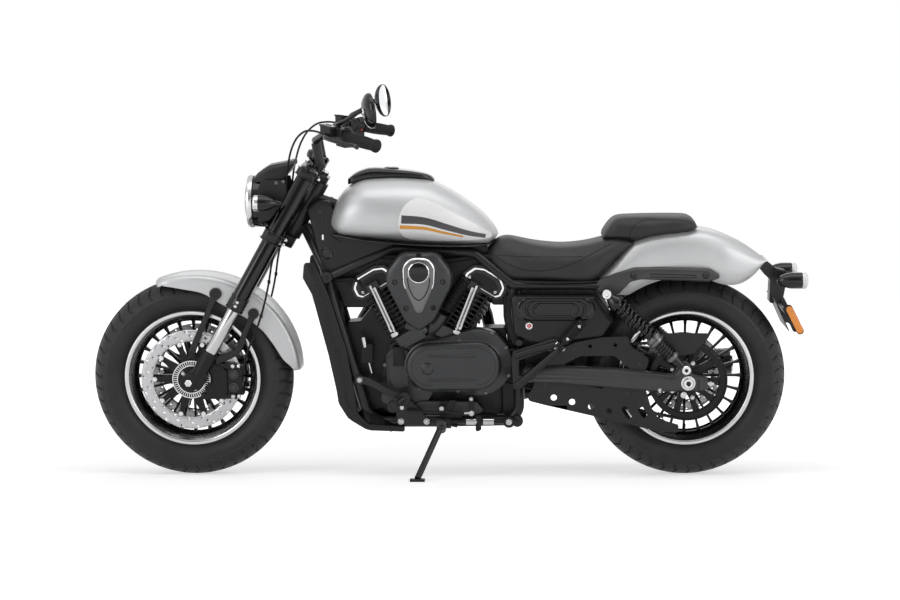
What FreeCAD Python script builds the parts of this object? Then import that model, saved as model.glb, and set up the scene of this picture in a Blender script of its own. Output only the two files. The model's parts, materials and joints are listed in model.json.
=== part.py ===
import FreeCAD, Part
import math
import os
import Sketcher
from FreeCAD import Vector, Placement, Rotation

# Cruiser motorcycle, in millimetres.
# It is drawn upright, front wheel towards -X, left side towards -Y, floor at Z = 0, with
# X = 0 midway along the engine. The last section leans every sub-part over on the side stand
# and puts the origin under the middle of the leaned machine.

doc = FreeCAD.newDocument("Cruiser")

# ---------------------------------------------------------------- driving dimensions
# alias, value, what it is
SIZES = [
    ("wheel_base", 1580, "between the two axles"),
    ("front_axle_reach", 790, "front axle, ahead of the engine datum"),
    ("rake", 29, "steering axis from vertical, degrees"),
    ("fork_offset", 40, "steering axis to fork leg, square to the axis"),
    ("axle_lead", 15, "fork leg to axle, square to the axis"),
    ("lean_angle", 8, "lean on the side stand, degrees"),
    ("front_tyre_radius", 320, "outer radius"),
    ("front_tyre_width", 130, "section width"),
    ("front_crown_radius", 68, "across the tread"),
    ("rear_tyre_radius", 322, "outer radius"),
    ("rear_tyre_width", 150, "section width"),
    ("rear_crown_radius", 80, "across the tread"),
    ("rim_radius", 218, "outside of the rim lip"),
    ("rim_bead_radius", 204, "where the tyre bead sits"),
    ("rim_well_radius", 186, "inside of the rim"),
    ("front_rim_width", 92, "over the rim lips"),
    ("rear_rim_width", 112, "over the rim lips"),
    ("spoke_count", 24, "cast spokes a wheel"),
    ("spoke_width", 11, "along the rim"),
    ("spoke_depth", 22, "along the axle"),
    ("hub_radius", 44, "wheel hub"),
    ("hub_width", 90, "wheel hub"),
    ("axle_radius", 10, "both axles"),
    ("bearing_clearance", 0.05, "running fit at axles and pivots"),
    ("seat_gap", 0.3, "between pieces that seat on each other"),
    ("front_disc_radius", 160, "brake disc, outer"),
    ("front_disc_inner", 122, "brake disc, inner"),
    ("rear_disc_radius", 130, "brake disc, outer"),
    ("rear_disc_inner", 88, "brake disc, inner"),
    ("disc_thickness", 5, "brake discs"),
    ("disc_offset", 66, "front disc, from the middle plane"),
    ("rear_disc_offset", 64, "rear disc, from the middle plane"),
    ("pulley_radius", 122, "rear belt pulley"),
    ("belt_width", 24, "drive belt"),
    ("belt_thickness", 6, "drive belt"),
    ("belt_plane", 92, "belt, from the middle plane"),
    ("belt_clearance", 0.6, "running gap round the pulleys"),
    ("fork_spread", 110, "fork leg, from the middle plane"),
    ("fork_outer_radius", 27, "upper fork tube"),
    ("fork_inner_radius", 20.5, "lower, chromed fork tube"),
    ("fork_bottom_radius", 25, "casting round the axle"),
    ("fork_top", 775, "top of the fork, from the axle"),
    ("fork_outer_end", 280, "lower end of the upper tube, from the axle"),
    ("fork_bottom_top", 112, "top of the axle casting, from the axle"),
    ("lower_clamp_at", 520, "lower clamp, from the axle"),
    ("upper_clamp_at", 752, "upper clamp, from the axle"),
    ("clamp_thickness", 34, "fork clamps"),
    ("stem_radius", 15, "steering stem"),
    ("head_tube_radius", 31, "frame head tube"),
    ("front_fender_clearance", 20, "over the front tyre"),
    ("front_fender_thickness", 3.5, "sheet"),
    ("front_fender_half_width", 76, "skirt, from the middle plane"),
    ("rear_fender_half_width", 102, "skirt, from the middle plane"),
    ("rear_fender_thickness", 4, "sheet"),
    ("headlight_radius", 85, "lens ring"),
    ("headlight_depth", 105, "shell"),
    ("bar_radius", 12.7, "handlebar tube"),
    ("grip_radius", 17, "rubber grip"),
    ("grip_length", 118, "rubber grip"),
    ("bar_half_width", 372, "handlebar, to the bar end"),
    ("mirror_radius", 54, "mirror head"),
    ("mirror_depth", 15, "mirror head"),
    ("frame_tube_radius", 17, "cradle tubes"),
    ("backbone_radius", 26, "tube under the tank"),
    ("cradle_spread", 82, "cradle tube, from the middle plane"),
    ("case_half_width", 62, "crankcase, from the middle plane"),
    ("cylinder_lean", 31, "each cylinder from vertical, degrees"),
    ("cylinder_radius", 48, "barrel"),
    ("fin_count", 10, "fins on each cylinder"),
    ("fin_pitch", 16.5, "fins"),
    ("fin_thickness", 4, "fins"),
    ("fin_length", 122, "fin, across the cylinder in the side view"),
    ("fin_half_width", 61.5, "fin, from the middle plane"),
    ("cover_depth", 55, "rocker cover, along the cylinder"),
    ("primary_depth", 66, "primary cover, outwards"),
    ("tank_half_width", 142, "fuel tank"),
    ("seat_half_width", 150, "rider seat"),
    ("pillion_half_width", 105, "pillion seat"),
    ("swingarm_half_height", 29, "swingarm beam"),
    ("swingarm_thickness", 26, "swingarm beam, sideways"),
    ("swingarm_spread", 132, "beam, from the middle plane to its middle"),
    ("pivot_reach", 290, "swingarm pivot, behind the engine datum"),
    ("pivot_height", 345, "swingarm pivot"),
    ("shock_stud_radius", 8, "shock absorber's bolts"),
    ("shock_spread", 180, "shock absorber, from the middle plane"),
    ("spring_radius", 27, "shock spring, outside"),
    ("exhaust_radius", 20, "header pipe"),
    ("muffler_radius", 44, "silencer"),
    ("stand_tube_radius", 10, "side stand leg"),
    ("stand_pivot_x", 10, "side stand pivot"),
    ("stand_pivot_spread", 150, "side stand pivot, from the middle plane"),
    ("stand_pivot_height", 185, "side stand pivot"),
    ("deck_height", 138, "cylinder foot, from the crank"),
    ("clamp_wall", 7, "round each fork tube"),
    ("brake_clearance", 5.6, "each side of a disc"),
    ("rear_upright_spread", 58, "frame tubes beside the belt, from the middle plane"),
    ("shock_collar_radius", 22, "shock absorber"),
    ("shell_wall", 4, "headlight bucket"),
    ("hose_radius", 3.2, "brake hoses and control cables"),
    ("plate_bolt_radius", 3.2, "licence plate hole"),
    ("plate_bolt_spacing", 100, "licence plate holes"),
]

sheet = doc.addObject("Spreadsheet::Sheet", "Sizes")
for row, (alias, value, meaning) in enumerate(SIZES, start=1):
    sheet.set(f"A{row}", meaning)
    sheet.set(f"B{row}", str(value))
    sheet.setAlias(f"B{row}", alias)
doc.recompute()


ALIASES = {alias for alias, _, _ in SIZES}


def bind(thing, **rules):
    """Tie properties to the sheet; a rule is arithmetic on aliases: 'rim_radius - 3'."""
    for name, rule in rules.items():
        words = ["Sizes." + word if word in ALIASES else word for word in str(rule).split()]
        thing.setExpression(name, " ".join(words))
    return thing


def worth(rule):
    """The number that such a rule gives."""
    total, term, sign, action = 0.0, 0.0, 1, "+"
    for word in str(rule).split():
        if word in ("+", "-", "*", "/"):
            action = word
            continue
        amount = float(getattr(sheet, word)) if word in ALIASES else float(word)
        if action == "*":
            term *= amount
        elif action == "/":
            term /= amount
        else:
            total += sign * term
            sign, term = (-1 if action == "-" else 1), amount
        action = "+"
    return total + sign * term


# ---------------------------------------------------------------- places worked out
X_AXIS, Y_AXIS, Z_AXIS = Vector(1, 0, 0), Vector(0, 1, 0), Vector(0, 0, 1)
RAKE = math.radians(sheet.rake)
STEER_UP = Vector(math.sin(RAKE), 0, math.cos(RAKE))
STEER_FORE = Vector(-math.cos(RAKE), 0, math.sin(RAKE))
FRONT_AXLE = Vector(-sheet.front_axle_reach, 0, sheet.front_tyre_radius)
REAR_AXLE = Vector(sheet.wheel_base - sheet.front_axle_reach, 0, sheet.rear_tyre_radius)
PIVOT = Vector(sheet.pivot_reach, 0, sheet.pivot_height)
FORK_LINE = -sheet.axle_lead
STEER_LINE = -sheet.axle_lead - sheet.fork_offset
CRANK = Vector(-30, 0, 345)


def fork_place(up, fore, side=0):
    """A point in the fork's own directions, measured from the front axle."""
    return FRONT_AXLE + STEER_UP * up + STEER_FORE * fore + Vector(0, side, 0)


def rear_place(x, y, z):
    """A point measured from the rear axle."""
    return REAR_AXLE + Vector(x, y, z)


# ---------------------------------------------------------------- drawing helpers
def facing(start, direction):
    """Placement that puts local +Z along direction."""
    return Placement(start, Rotation(Z_AXIS, direction))


def cylinder(radius, length, start, direction=Y_AXIS):
    piece = bind(doc.addObject("Part::Cylinder", "Round"), Radius=radius, Height=length)
    piece.Placement = facing(start, direction)
    return piece


def rod(radius, start, end):
    return cylinder(radius, (end - start).Length, start, end - start)


def block(size_x, size_y, size_z, centre, turn=Rotation()):
    piece = bind(doc.addObject("Part::Box", "Block"), Length=size_x, Width=size_y, Height=size_z)
    half = Vector(worth(size_x), worth(size_y), worth(size_z)) * 0.5
    piece.Placement = Placement(centre - turn.multVec(half), turn)
    return piece


def feature(shape, name="Shaped"):
    piece = doc.addObject("Part::Feature", name)
    piece.Shape = shape
    return piece


def rounded_wire(corners, plane="XZ", at=0.0):
    """Closed outline from rows of (u, v, corner radius), rounded by tangent arcs.

    In plane XZ, u is X and v is Z; in YZ, u is Y and v is Z; in XY, u is X and v is Y.
    """
    def place(u, v):
        if plane == "XZ":
            return Vector(u, at, v)
        if plane == "YZ":
            return Vector(at, u, v)
        return Vector(u, v, at)

    points = [place(u, v) for u, v, _ in corners]
    radii = [row[2] for row in corners]
    return round_path(points, radii, closed=True)


def round_path(points, radii, closed=False):
    """Wire of straight runs, with a tangent arc of each point's radius at its corner."""
    count = len(points)
    edges = []
    starts, ends = [None] * count, [None] * count
    middles = [None] * count
    for i in range(count):
        corner = points[i]
        if radii[i] <= 0 or (not closed and i in (0, count - 1)):
            starts[i] = ends[i] = corner
            continue
        back = (points[i - 1] - corner).normalize()
        ahead = (points[(i + 1) % count] - corner).normalize()
        half = back.getAngle(ahead) / 2
        reach = radii[i] / math.tan(half)
        starts[i] = corner + back * reach
        ends[i] = corner + ahead * reach
        bisector = (back + ahead).normalize()
        middles[i] = corner + bisector * (radii[i] / math.sin(half) - radii[i])
    for i in range(count):
        if middles[i] is not None:
            edges.append(Part.Arc(starts[i], middles[i], ends[i]).toShape())
        if closed or i < count - 1:
            target = starts[(i + 1) % count]
            if (target - ends[i]).Length > 1e-4:
                edges.append(Part.LineSegment(ends[i], target).toShape())
    return Part.Wire(Part.__sortEdges__(edges))


def plate(corners, at, thickness, plane="XZ", holes=()):
    """Flat plate: a rounded outline, extruded along the plane's normal from `at`."""
    outline = feature(Part.Face(rounded_wire(corners, plane, at)), "Outline")
    solid = doc.addObject("Part::Extrusion", "Plate")
    solid.Base = outline
    solid.DirMode = "Custom"
    solid.Dir = {"XZ": Y_AXIS, "YZ": X_AXIS, "XY": Z_AXIS}[plane]
    solid.Solid = True
    bind(solid, LengthFwd=thickness)
    if holes:
        return cut(solid, list(holes))
    return solid


def tube(points, radius, bends):
    """Round bar along straight runs, joined at each point by a tangent arc of its own radius."""
    path = round_path(points, bends)
    ring = Part.Wire(Part.makeCircle(radius, points[0], points[1] - points[0]))
    return feature(path.makePipeShell([ring], True, False), "Tube")


def fuse(pieces):
    joined = doc.addObject("Part::MultiFuse", "Joined")
    joined.Shapes = pieces
    return joined


def fuse_in_turn(pieces):
    """The same union, one piece at a time, for tubes that cross at shallow angles."""
    joined = pieces[0]
    for piece in pieces[1:]:
        pair = doc.addObject("Part::Fuse", "Welded")
        pair.Base = joined
        pair.Tool = piece
        joined = pair
    return joined


def cut(base, tools):
    tool = tools[0] if len(tools) == 1 else fuse(tools)
    result = doc.addObject("Part::Cut", "Trimmed")
    result.Base = base
    result.Tool = tool
    return result


def mirrored(piece):
    twin = doc.addObject("Part::Mirroring", "Mirrored")
    twin.Source = piece
    twin.Base = Vector(0, 0, 0)
    twin.Normal = Y_AXIS
    return twin


def both_sides(pieces):
    return list(pieces) + [mirrored(piece) for piece in pieces]


def turned(profile, centre, axis=Y_AXIS):
    """Body of revolution: rows of (radius, distance along the axis), bound to the sheet."""
    body = doc.addObject("PartDesign::Body", "Turned")
    sketch = body.newObject("Sketcher::SketchObject", "Profile")
    plane = next(f for f in body.Origin.OriginFeatures if f.Role == "XY_Plane")
    sketch.AttachmentSupport = [(plane, "")]
    sketch.MapMode = "FlatFace"
    draw_bound_outline(sketch, profile)
    revolution = body.newObject("PartDesign::Revolution", "Revolution")
    revolution.Profile = sketch
    revolution.ReferenceAxis = (sketch, ["V_Axis"])
    revolution.Angle = 360
    body.Tip = revolution
    body.Placement = Placement(centre, Rotation(Y_AXIS, axis))
    return body


def draw_bound_outline(sketch, profile):
    spots = [Vector(worth(u), worth(v), 0) for u, v in profile]
    count = len(spots)
    for i in range(count):
        sketch.addGeometry(Part.LineSegment(spots[i], spots[(i + 1) % count]), False)
    for i in range(count):
        sketch.addConstraint(Sketcher.Constraint("Coincident", i, 2, (i + 1) % count, 1))
    for i, (u, v) in enumerate(profile):
        for kind, rule, number in (("DistanceX", u, spots[i].x), ("DistanceY", v, spots[i].y)):
            index = sketch.addConstraint(Sketcher.Constraint(kind, -1, 1, i, 1, number))
            bind(sketch, **{f"Constraints[{index}]": rule})


# ---------------------------------------------------------------- sub-parts
NODES = []


def node(label, pieces):
    """Named sub-part: pieces that meet are joined, the others stay as separate solids."""
    kind = "Part::Compound" if len(pieces) == 1 else "Part::MultiFuse"
    part = doc.addObject(kind, label)
    part.Label = label
    if len(pieces) == 1:
        part.Links = pieces
    else:
        part.Shapes = pieces
    NODES.append(part)
    return part


# ---------------------------------------------------------------- wheels
def negative(rule):
    """The rule with every sign turned over."""
    flipped = [{"+": "-", "-": "+"}.get(word, word) for word in rule.split()]
    return "0 - " + " ".join(flipped)


def tyre(centre, radius, crown, width, rim_width):
    """Ring of rubber between the rim's lips: rows are (radius, distance along the axle).

    The tread is an arc of the crown's radius, in steps out to its shoulder.
    """
    half, seat = width + " / 2", rim_width + " / 2 - 6 - seat_gap"
    rows = [
        ("rim_bead_radius", seat),
        ("rim_radius + 2", seat),
        ("rim_radius + 10", rim_width + " / 2 + 4"),
        (radius + " - 60", half),
        (radius + " - 44", half + " - 2"),
    ]
    for degrees in (56, 42, 30, 20, 12, 4):
        angle = math.radians(degrees)
        rows.append((f"{radius} - {crown} * {1 - math.cos(angle):.6f}", f"{crown} * {math.sin(angle):.6f}"))
    other = [(r, negative(y)) for r, y in reversed(rows)]
    return turned(rows + other, centre)


def rim(centre, width):
    """Rim with its drop well, a hub and a ring of slim spokes between them."""
    half = width + " / 2"
    outer = [
        ("rim_radius", half),
        ("rim_radius", half + " - 6"),
        ("rim_bead_radius - seat_gap", half + " - 6"),
        ("rim_bead_radius - seat_gap", half + " - 24"),
        ("rim_well_radius + 6", half + " - 32"),
    ]
    inner = [
        ("rim_well_radius + 10", half),
        ("rim_well_radius", half + " - 12"),
    ]
    section = outer + [(r, negative(y)) for r, y in reversed(outer)]
    section += [(r, negative(y)) for r, y in inner]
    section += list(reversed(inner))
    ring = turned(section, centre)
    barrel = cylinder("hub_radius", "hub_width", centre - Y_AXIS * (sheet.hub_width / 2))
    reach = sheet.rim_well_radius - sheet.hub_radius + 8
    middle = sheet.hub_radius - 4 + reach / 2
    spokes = []
    for i in range(int(sheet.spoke_count)):
        turn = Rotation(Y_AXIS, 360.0 * i / sheet.spoke_count)
        spot = centre + turn.multVec(Vector(0, 0, middle))
        spokes.append(block("spoke_width", "spoke_depth", reach, spot, turn))
    bore = cylinder("axle_radius + bearing_clearance", "hub_width + 20",
                    centre - Y_AXIS * (sheet.hub_width / 2 + 10))
    return cut(fuse([ring, barrel] + spokes), [bore])


def disc(centre, outer, inner, offset):
    """Brake disc, to one side of the wheel's middle plane."""
    band = [(outer, "disc_thickness / 2"), (outer, "0 - disc_thickness / 2"),
            (inner, "0 - disc_thickness / 2"), (inner, "disc_thickness / 2")]
    return turned(band, centre + Y_AXIS * offset)


def disc_carrier(centre, inner, offset, hub_half):
    """Dished carrier from the hub's end face out to the disc, with five windows."""
    side = 1 if offset > 0 else -1
    foot = centre + Y_AXIS * (side * (hub_half + sheet.seat_gap))
    depth = abs(offset) - hub_half - sheet.seat_gap
    rim_edge = inner + " - seat_gap"
    plate_ring = turned([(rim_edge, "0 - 3"), (rim_edge, "3"), ("22", "3"), ("22", "0 - 3")],
                        centre + Y_AXIS * offset)
    boss = cylinder("40", depth, foot, Y_AXIS * side)
    bore = cylinder("24", depth + 12, foot - Y_AXIS * (side * 2), Y_AXIS * side)
    windows = []
    for i in range(5):
        turn = Rotation(Y_AXIS, 72.0 * i + 36)
        spot = centre + Y_AXIS * (offset - 10) + turn.multVec(Vector(0, 0, 62))
        windows.append(cylinder("15", "20", spot))
    return cut(fuse([plate_ring, boss]), [bore] + windows)


half_hub = sheet.hub_width / 2
node("front_tyre",
     [tyre(FRONT_AXLE, "front_tyre_radius", "front_crown_radius", "front_tyre_width", "front_rim_width")])
node("front_rim", [rim(FRONT_AXLE, "front_rim_width")])
front_discs = []
for side in (-1, 1):
    offset = side * sheet.disc_offset
    front_discs.append(disc(FRONT_AXLE, "front_disc_radius", "front_disc_inner", offset))
    front_discs.append(disc_carrier(FRONT_AXLE, "front_disc_inner", offset, half_hub))
node("front_brake_discs", front_discs)
node("rear_tyre",
     [tyre(REAR_AXLE, "rear_tyre_radius", "rear_crown_radius", "rear_tyre_width", "rear_rim_width")])
node("rear_rim", [rim(REAR_AXLE, "rear_rim_width")])
node("rear_brake_disc", [disc(REAR_AXLE, "rear_disc_radius", "rear_disc_inner", sheet.rear_disc_offset),
                         disc_carrier(REAR_AXLE, "rear_disc_inner", sheet.rear_disc_offset, half_hub)])

pulley_face = sheet.belt_plane - sheet.belt_width / 2
pulley_body = turned([("pulley_radius", "belt_width / 2"), ("pulley_radius", "0 - belt_width / 2"),
                      ("20", "0 - belt_width / 2"), ("20", "belt_width / 2")],
                     REAR_AXLE - Y_AXIS * sheet.belt_plane)
pulley_boss = cylinder("38", pulley_face - half_hub - sheet.seat_gap + 1,
                       REAR_AXLE - Y_AXIS * (pulley_face + 1))
pulley_cuts = [cylinder("22", "100", REAR_AXLE - Y_AXIS * 140)]
for i in range(5):
    turn = Rotation(Y_AXIS, 72.0 * i)
    spot = REAR_AXLE - Y_AXIS * (sheet.belt_plane + 20) + turn.multVec(Vector(0, 0, 78))
    pulley_cuts.append(cylinder("21", "40", spot))
node("rear_pulley", [cut(fuse([pulley_body, pulley_boss]), pulley_cuts)])

# ---------------------------------------------------------------- axles
front_axle_end = sheet.fork_spread + 27
node("front_axle", [cylinder("axle_radius", 2 * front_axle_end, FRONT_AXLE - Y_AXIS * front_axle_end)])
beam_face = sheet.swingarm_spread + sheet.swingarm_thickness / 2
rear_axle_end = beam_face + 12
axle_nuts = [cylinder("21", "8", REAR_AXLE + Y_AXIS * (side * (beam_face + sheet.seat_gap)), Y_AXIS * side)
             for side in (-1, 1)]
rear_axle = [cylinder("axle_radius", 2 * rear_axle_end, REAR_AXLE - Y_AXIS * rear_axle_end)] + axle_nuts

# ---------------------------------------------------------------- brake calipers
CALIPER_TURN = 12.0


def caliper(axle, side, disc_radius, offset, bearing):
    """Two cheeks and a bridge round the disc's edge, `bearing` degrees down from the rear."""
    turn = Rotation(Y_AXIS, bearing)
    gap = sheet.disc_thickness / 2 + sheet.brake_clearance
    edge = disc_radius + sheet.brake_clearance + 1

    def spot(radius, distance):
        return axle + turn.multVec(Vector(radius, 0, 0)) + Y_AXIS * (side * distance)
    outer = block("80", "30", "112", spot(edge - 16, offset + gap + 15), turn)
    inner = block("68", "22", "78", spot(edge - 24, offset - gap - 11), turn)
    bridge = block("10", 2 * gap + 10, "78", spot(edge + 5, offset), turn)
    return fuse([outer, inner, bridge])


node("front_calipers", [caliper(FRONT_AXLE, side, sheet.front_disc_radius, sheet.disc_offset, CALIPER_TURN)
                        for side in (-1, 1)])

# ---------------------------------------------------------------- fork and steering
upper_bottom = sheet.fork_outer_end
caliper_face = sheet.front_disc_radius + sheet.brake_clearance + 1 - 16 - 40
outer_tubes, inner_tubes, castings = [], [], []
for side in (-1, 1):
    leg = side * sheet.fork_spread
    outer = rod("fork_outer_radius", fork_place(upper_bottom, FORK_LINE, leg),
                fork_place(sheet.fork_top, FORK_LINE, leg))
    collar = rod("fork_outer_radius + 2", fork_place(upper_bottom - 4, FORK_LINE, leg),
                 fork_place(upper_bottom + 34, FORK_LINE, leg))
    outer_tubes.append(fuse([outer, collar]))
    inner_tubes.append(rod("fork_inner_radius",
                           fork_place(sheet.fork_bottom_top + sheet.seat_gap, FORK_LINE, leg),
                           fork_place(upper_bottom - 4 - sheet.seat_gap, FORK_LINE, leg)))
    casting = rod("fork_bottom_radius", fork_place(20, FORK_LINE, leg),
                  fork_place(sheet.fork_bottom_top, FORK_LINE, leg))
    eye = cylinder("24", "44", FRONT_AXLE + Y_AXIS * (leg - 22))
    web = rod("20", fork_place(-6, -6, leg), fork_place(60, FORK_LINE, leg))
    turn = Rotation(Y_AXIS, CALIPER_TURN)
    lugs = []
    for rise in (-32, 32):
        tip = FRONT_AXLE + turn.multVec(Vector(caliper_face - sheet.seat_gap, 0, rise)) + Y_AXIS * (side * 92)
        knee = tip - turn.multVec(X_AXIS) * 16
        lugs.append(rod("9", knee, tip))
        lugs.append(rod("9", fork_place(52 + rise, FORK_LINE, side * 92), knee + turn.multVec(X_AXIS) * 4))
    bore = cylinder("axle_radius + bearing_clearance", "60", FRONT_AXLE + Y_AXIS * (leg - 30))
    castings.append(cut(fuse([casting, eye, web] + lugs), [bore]))
node("fork_outer_tubes", outer_tubes)
node("fork_inner_tubes", inner_tubes)


def clamp(height, thickness, boss_half):
    """Clamp across both legs, bored for them, with the stem's boss in the middle.

    Rows are (distance behind the leg line, sideways, corner radius).
    """
    ring = sheet.fork_outer_radius + sheet.clamp_wall
    wide = sheet.fork_spread + ring
    reach = sheet.fork_offset + sheet.stem_radius + 8
    rows = [(-ring, -wide, 18), (-ring, wide, 18), (ring - 14, wide, 18), (ring - 4, boss_half + 24, 10),
            (reach, boss_half, 12), (reach, -boss_half, 12), (ring - 4, -boss_half - 24, 10),
            (ring - 14, -wide, 18)]
    face = feature(Part.Face(rounded_wire(rows, "XY", 0)), "ClampOutline")
    solid = doc.addObject("Part::Extrusion", "Clamp")
    solid.Base = face
    solid.DirMode = "Custom"
    solid.Dir = Z_AXIS
    solid.Solid = True
    bind(solid, LengthFwd=thickness)
    solid.Placement = Placement(fork_place(height, FORK_LINE), Rotation(Y_AXIS, sheet.rake))
    bores = [rod("fork_outer_radius + seat_gap", fork_place(height - 20, FORK_LINE, side * sheet.fork_spread),
                 fork_place(height + 80, FORK_LINE, side * sheet.fork_spread)) for side in (-1, 1)]
    return cut(solid, bores)


lower, upper = sheet.lower_clamp_at, sheet.upper_clamp_at
upper_top = upper + sheet.clamp_thickness - 12
stem = rod("stem_radius", fork_place(lower, STEER_LINE), fork_place(upper_top + 10, STEER_LINE))
clamps = fuse([clamp(lower, "clamp_thickness", 34), clamp(upper, "clamp_thickness - 12", 30), stem])


def arc_band(centre, radius_in, radius_out, from_angle, to_angle, half_width):
    """Part of a ring about the axle; angles from vertical, positive to the rear."""
    def spot(radius, angle):
        a = math.radians(angle)
        return centre + Vector(radius * math.sin(a), -half_width, radius * math.cos(a))
    middle = (from_angle + to_angle) / 2
    edges = [
        Part.Arc(spot(radius_out, from_angle), spot(radius_out, middle),
                 spot(radius_out, to_angle)).toShape(),
        Part.LineSegment(spot(radius_out, to_angle), spot(radius_in, to_angle)).toShape(),
        Part.Arc(spot(radius_in, to_angle), spot(radius_in, middle), spot(radius_in, from_angle)).toShape(),
        Part.LineSegment(spot(radius_in, from_angle), spot(radius_out, from_angle)).toShape(),
    ]
    return Part.Face(Part.Wire(edges)).extrude(Vector(0, 2 * half_width, 0))


# front fender: a rounded shell over the tyre whose skirts are deepest beside the fork
fender_out = sheet.front_tyre_radius + sheet.front_fender_clearance
FENDER_FRONT, FENDER_REAR, FENDER_ROUND = -22.0, 86.0, 30.0


def fender_form(inset):
    """The front fender's outer form, or the space inside it at the given inset."""
    half = sheet.front_fender_half_width - inset
    top = fender_out - inset
    band = arc_band(FRONT_AXLE, fender_out - 72, top, FENDER_FRONT - inset, FENDER_REAR + inset, half)
    edges = [edge for edge in band.Edges
             if edge.Length > 300 and edge.BoundBox.YLength < 1 and edge.Curve.Radius > top - 1]
    return band.makeFillet(FENDER_ROUND - inset, edges)


skirt_line = rounded_wire([(-210, -400, 0), (500, -400, 0), (500, -40, 0), (300, -40, 0), (268, 60, 60),
                           (150, 215, 90), (-50, 262, 90), (-210, 262, 0)], "XZ", 0)
skirt_tool = Part.Face(skirt_line).extrude(Vector(0, 400, 0))
skirt_tool.translate(FRONT_AXLE + Vector(0, -200, 0))
shell = fender_form(0).cut(fender_form(sheet.front_fender_thickness))
node("front_fender", [feature(shell.cut(skirt_tool), "FenderShell")])

# stays from the fork castings to the fender's skirts; rows are (top, bottom) from the axle
fender_side = sheet.front_fender_half_width
stays = []
for top, bottom in (((84, 278), (15, 80)), ((203, 214), (98, 66))):
    high_end = FRONT_AXLE + Vector(top[0], -fender_side - 9, top[1])
    low_end = FRONT_AXLE + Vector(bottom[0], -fender_side - 18, bottom[1])
    stays.append(rod("6.5", high_end, low_end))
    stays.append(cylinder("11", "14", high_end + Vector(0, 8.7, 0), -Y_AXIS))
    stays.append(rod("6.5", low_end, fork_place(88, FORK_LINE, -sheet.fork_spread)))
left_stays = fuse(stays)
node("fork_bottoms", [fuse([castings[0], left_stays]), fuse([castings[1], mirrored(left_stays)])])

# headlight: bucket, lens, ears and a peaked cowl
lamp = fork_place(587, 107)
bore_radius = "headlight_radius - shell_wall - 4"
node("headlight_shell",
     [turned([("headlight_radius", "0"), ("headlight_radius", "24"), ("headlight_radius - 7", "25"),
                                 ("headlight_radius - 12", "52"), ("40", "headlight_depth"),
                                 ("0", "headlight_depth"), ("0", "12"), (bore_radius, "12"),
              (bore_radius, "0")],
                                lamp, X_AXIS)])
lens_edge = bore_radius + " - seat_gap"
node("headlight_lens", [turned([(lens_edge, "0 - 3"), (lens_edge, "12 - seat_gap"), ("0", "12 - seat_gap"),
                                ("0", "0 - 9"), ("40", "0 - 8")], lamp, X_AXIS)])
lamp_top = lamp.z + sheet.headlight_radius + sheet.seat_gap
node("headlight_cowl", [plate([(lamp.x + 13, lamp_top, 2), (lamp.x + 21, lamp_top + 14, 6),
                               (lamp.x + 64, lamp_top + 33, 20), (lamp.x + 130, lamp_top + 48, 20),
                               (lamp.x + 144, lamp_top + 49, 3), (lamp.x + 144, lamp_top + 27, 3),
                               (lamp.x + 99, lamp_top + 3, 10)], -58, 116)])
ear_in = sheet.headlight_radius - 7 + sheet.seat_gap
ear_out = sheet.fork_spread - sheet.fork_outer_radius - sheet.seat_gap
ears, indicators = [], []
for side in (-1, 1):
    near = min(side * ear_in, side * ear_out)
    ears.append(plate([(lamp.x + 27, lamp.z - 22, 8), (lamp.x + 27, lamp.z + 24, 8),
                       (lamp.x + 146, lamp.z + 24, 8),
                       (lamp.x + 146, lamp.z - 22, 8)], near, ear_out - ear_in))
    spot = Vector(lamp.x + 26, side * 142, lamp.z + 7)
    stalk = rod("8", spot + X_AXIS * 40, Vector(spot.x + 40, side * (ear_out + sheet.seat_gap), spot.z))
    indicators.append(fuse([cylinder("25", "66", spot, X_AXIS), stalk]))
node("fork_clamps", [clamps] + ears)
node("front_indicators", indicators)

# handlebar and what it carries; distances are measured inwards from the bar's end
BAR_HALF = [Vector(-385, 60, 1082), Vector(-340, 150, 1112), Vector(-318, 235, 1118),
            Vector(-180, sheet.bar_half_width - 8, 1088)]
bar_line = [Vector(p.x, -p.y, p.z) for p in reversed(BAR_HALF)] + BAR_HALF
bar = tube(bar_line, sheet.bar_radius, [0, 30, 60, 60, 60, 60, 30, 0])
risers = []
for side in (-1, 1):
    knee = fork_place(upper_top + 34, -34, side * 45)
    risers.append(rod("15", fork_place(upper_top + sheet.seat_gap, -34, side * 45), knee))
    risers.append(rod("15", knee - STEER_UP * 8, Vector(-385, side * 45, 1074)))
node("handlebar", [fuse([bar] + risers)])
bar_end, bar_in = BAR_HALF[-1], BAR_HALF[-2]
bar_run = (bar_end - bar_in).normalize()
PERCH = sheet.grip_length + 31


bar_ahead = Vector(-bar_run.y, bar_run.x, 0).normalize()


def on_bar(side, distance, ahead=0, rise=0):
    """A point beside the bar: distance in from its end, ahead of it and above it."""
    spot = bar_end - bar_run * distance + bar_ahead * ahead + Z_AXIS * rise
    return Vector(spot.x, side * spot.y, spot.z)


def sleeve(side, radius, near, far):
    """Tubular piece on the bar, between two distances from the bar's end."""
    body = rod(radius, on_bar(side, far), on_bar(side, near))
    hollow = rod("bar_radius + seat_gap", on_bar(side, far + 5), on_bar(side, near - 5))
    return body, hollow


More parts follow.
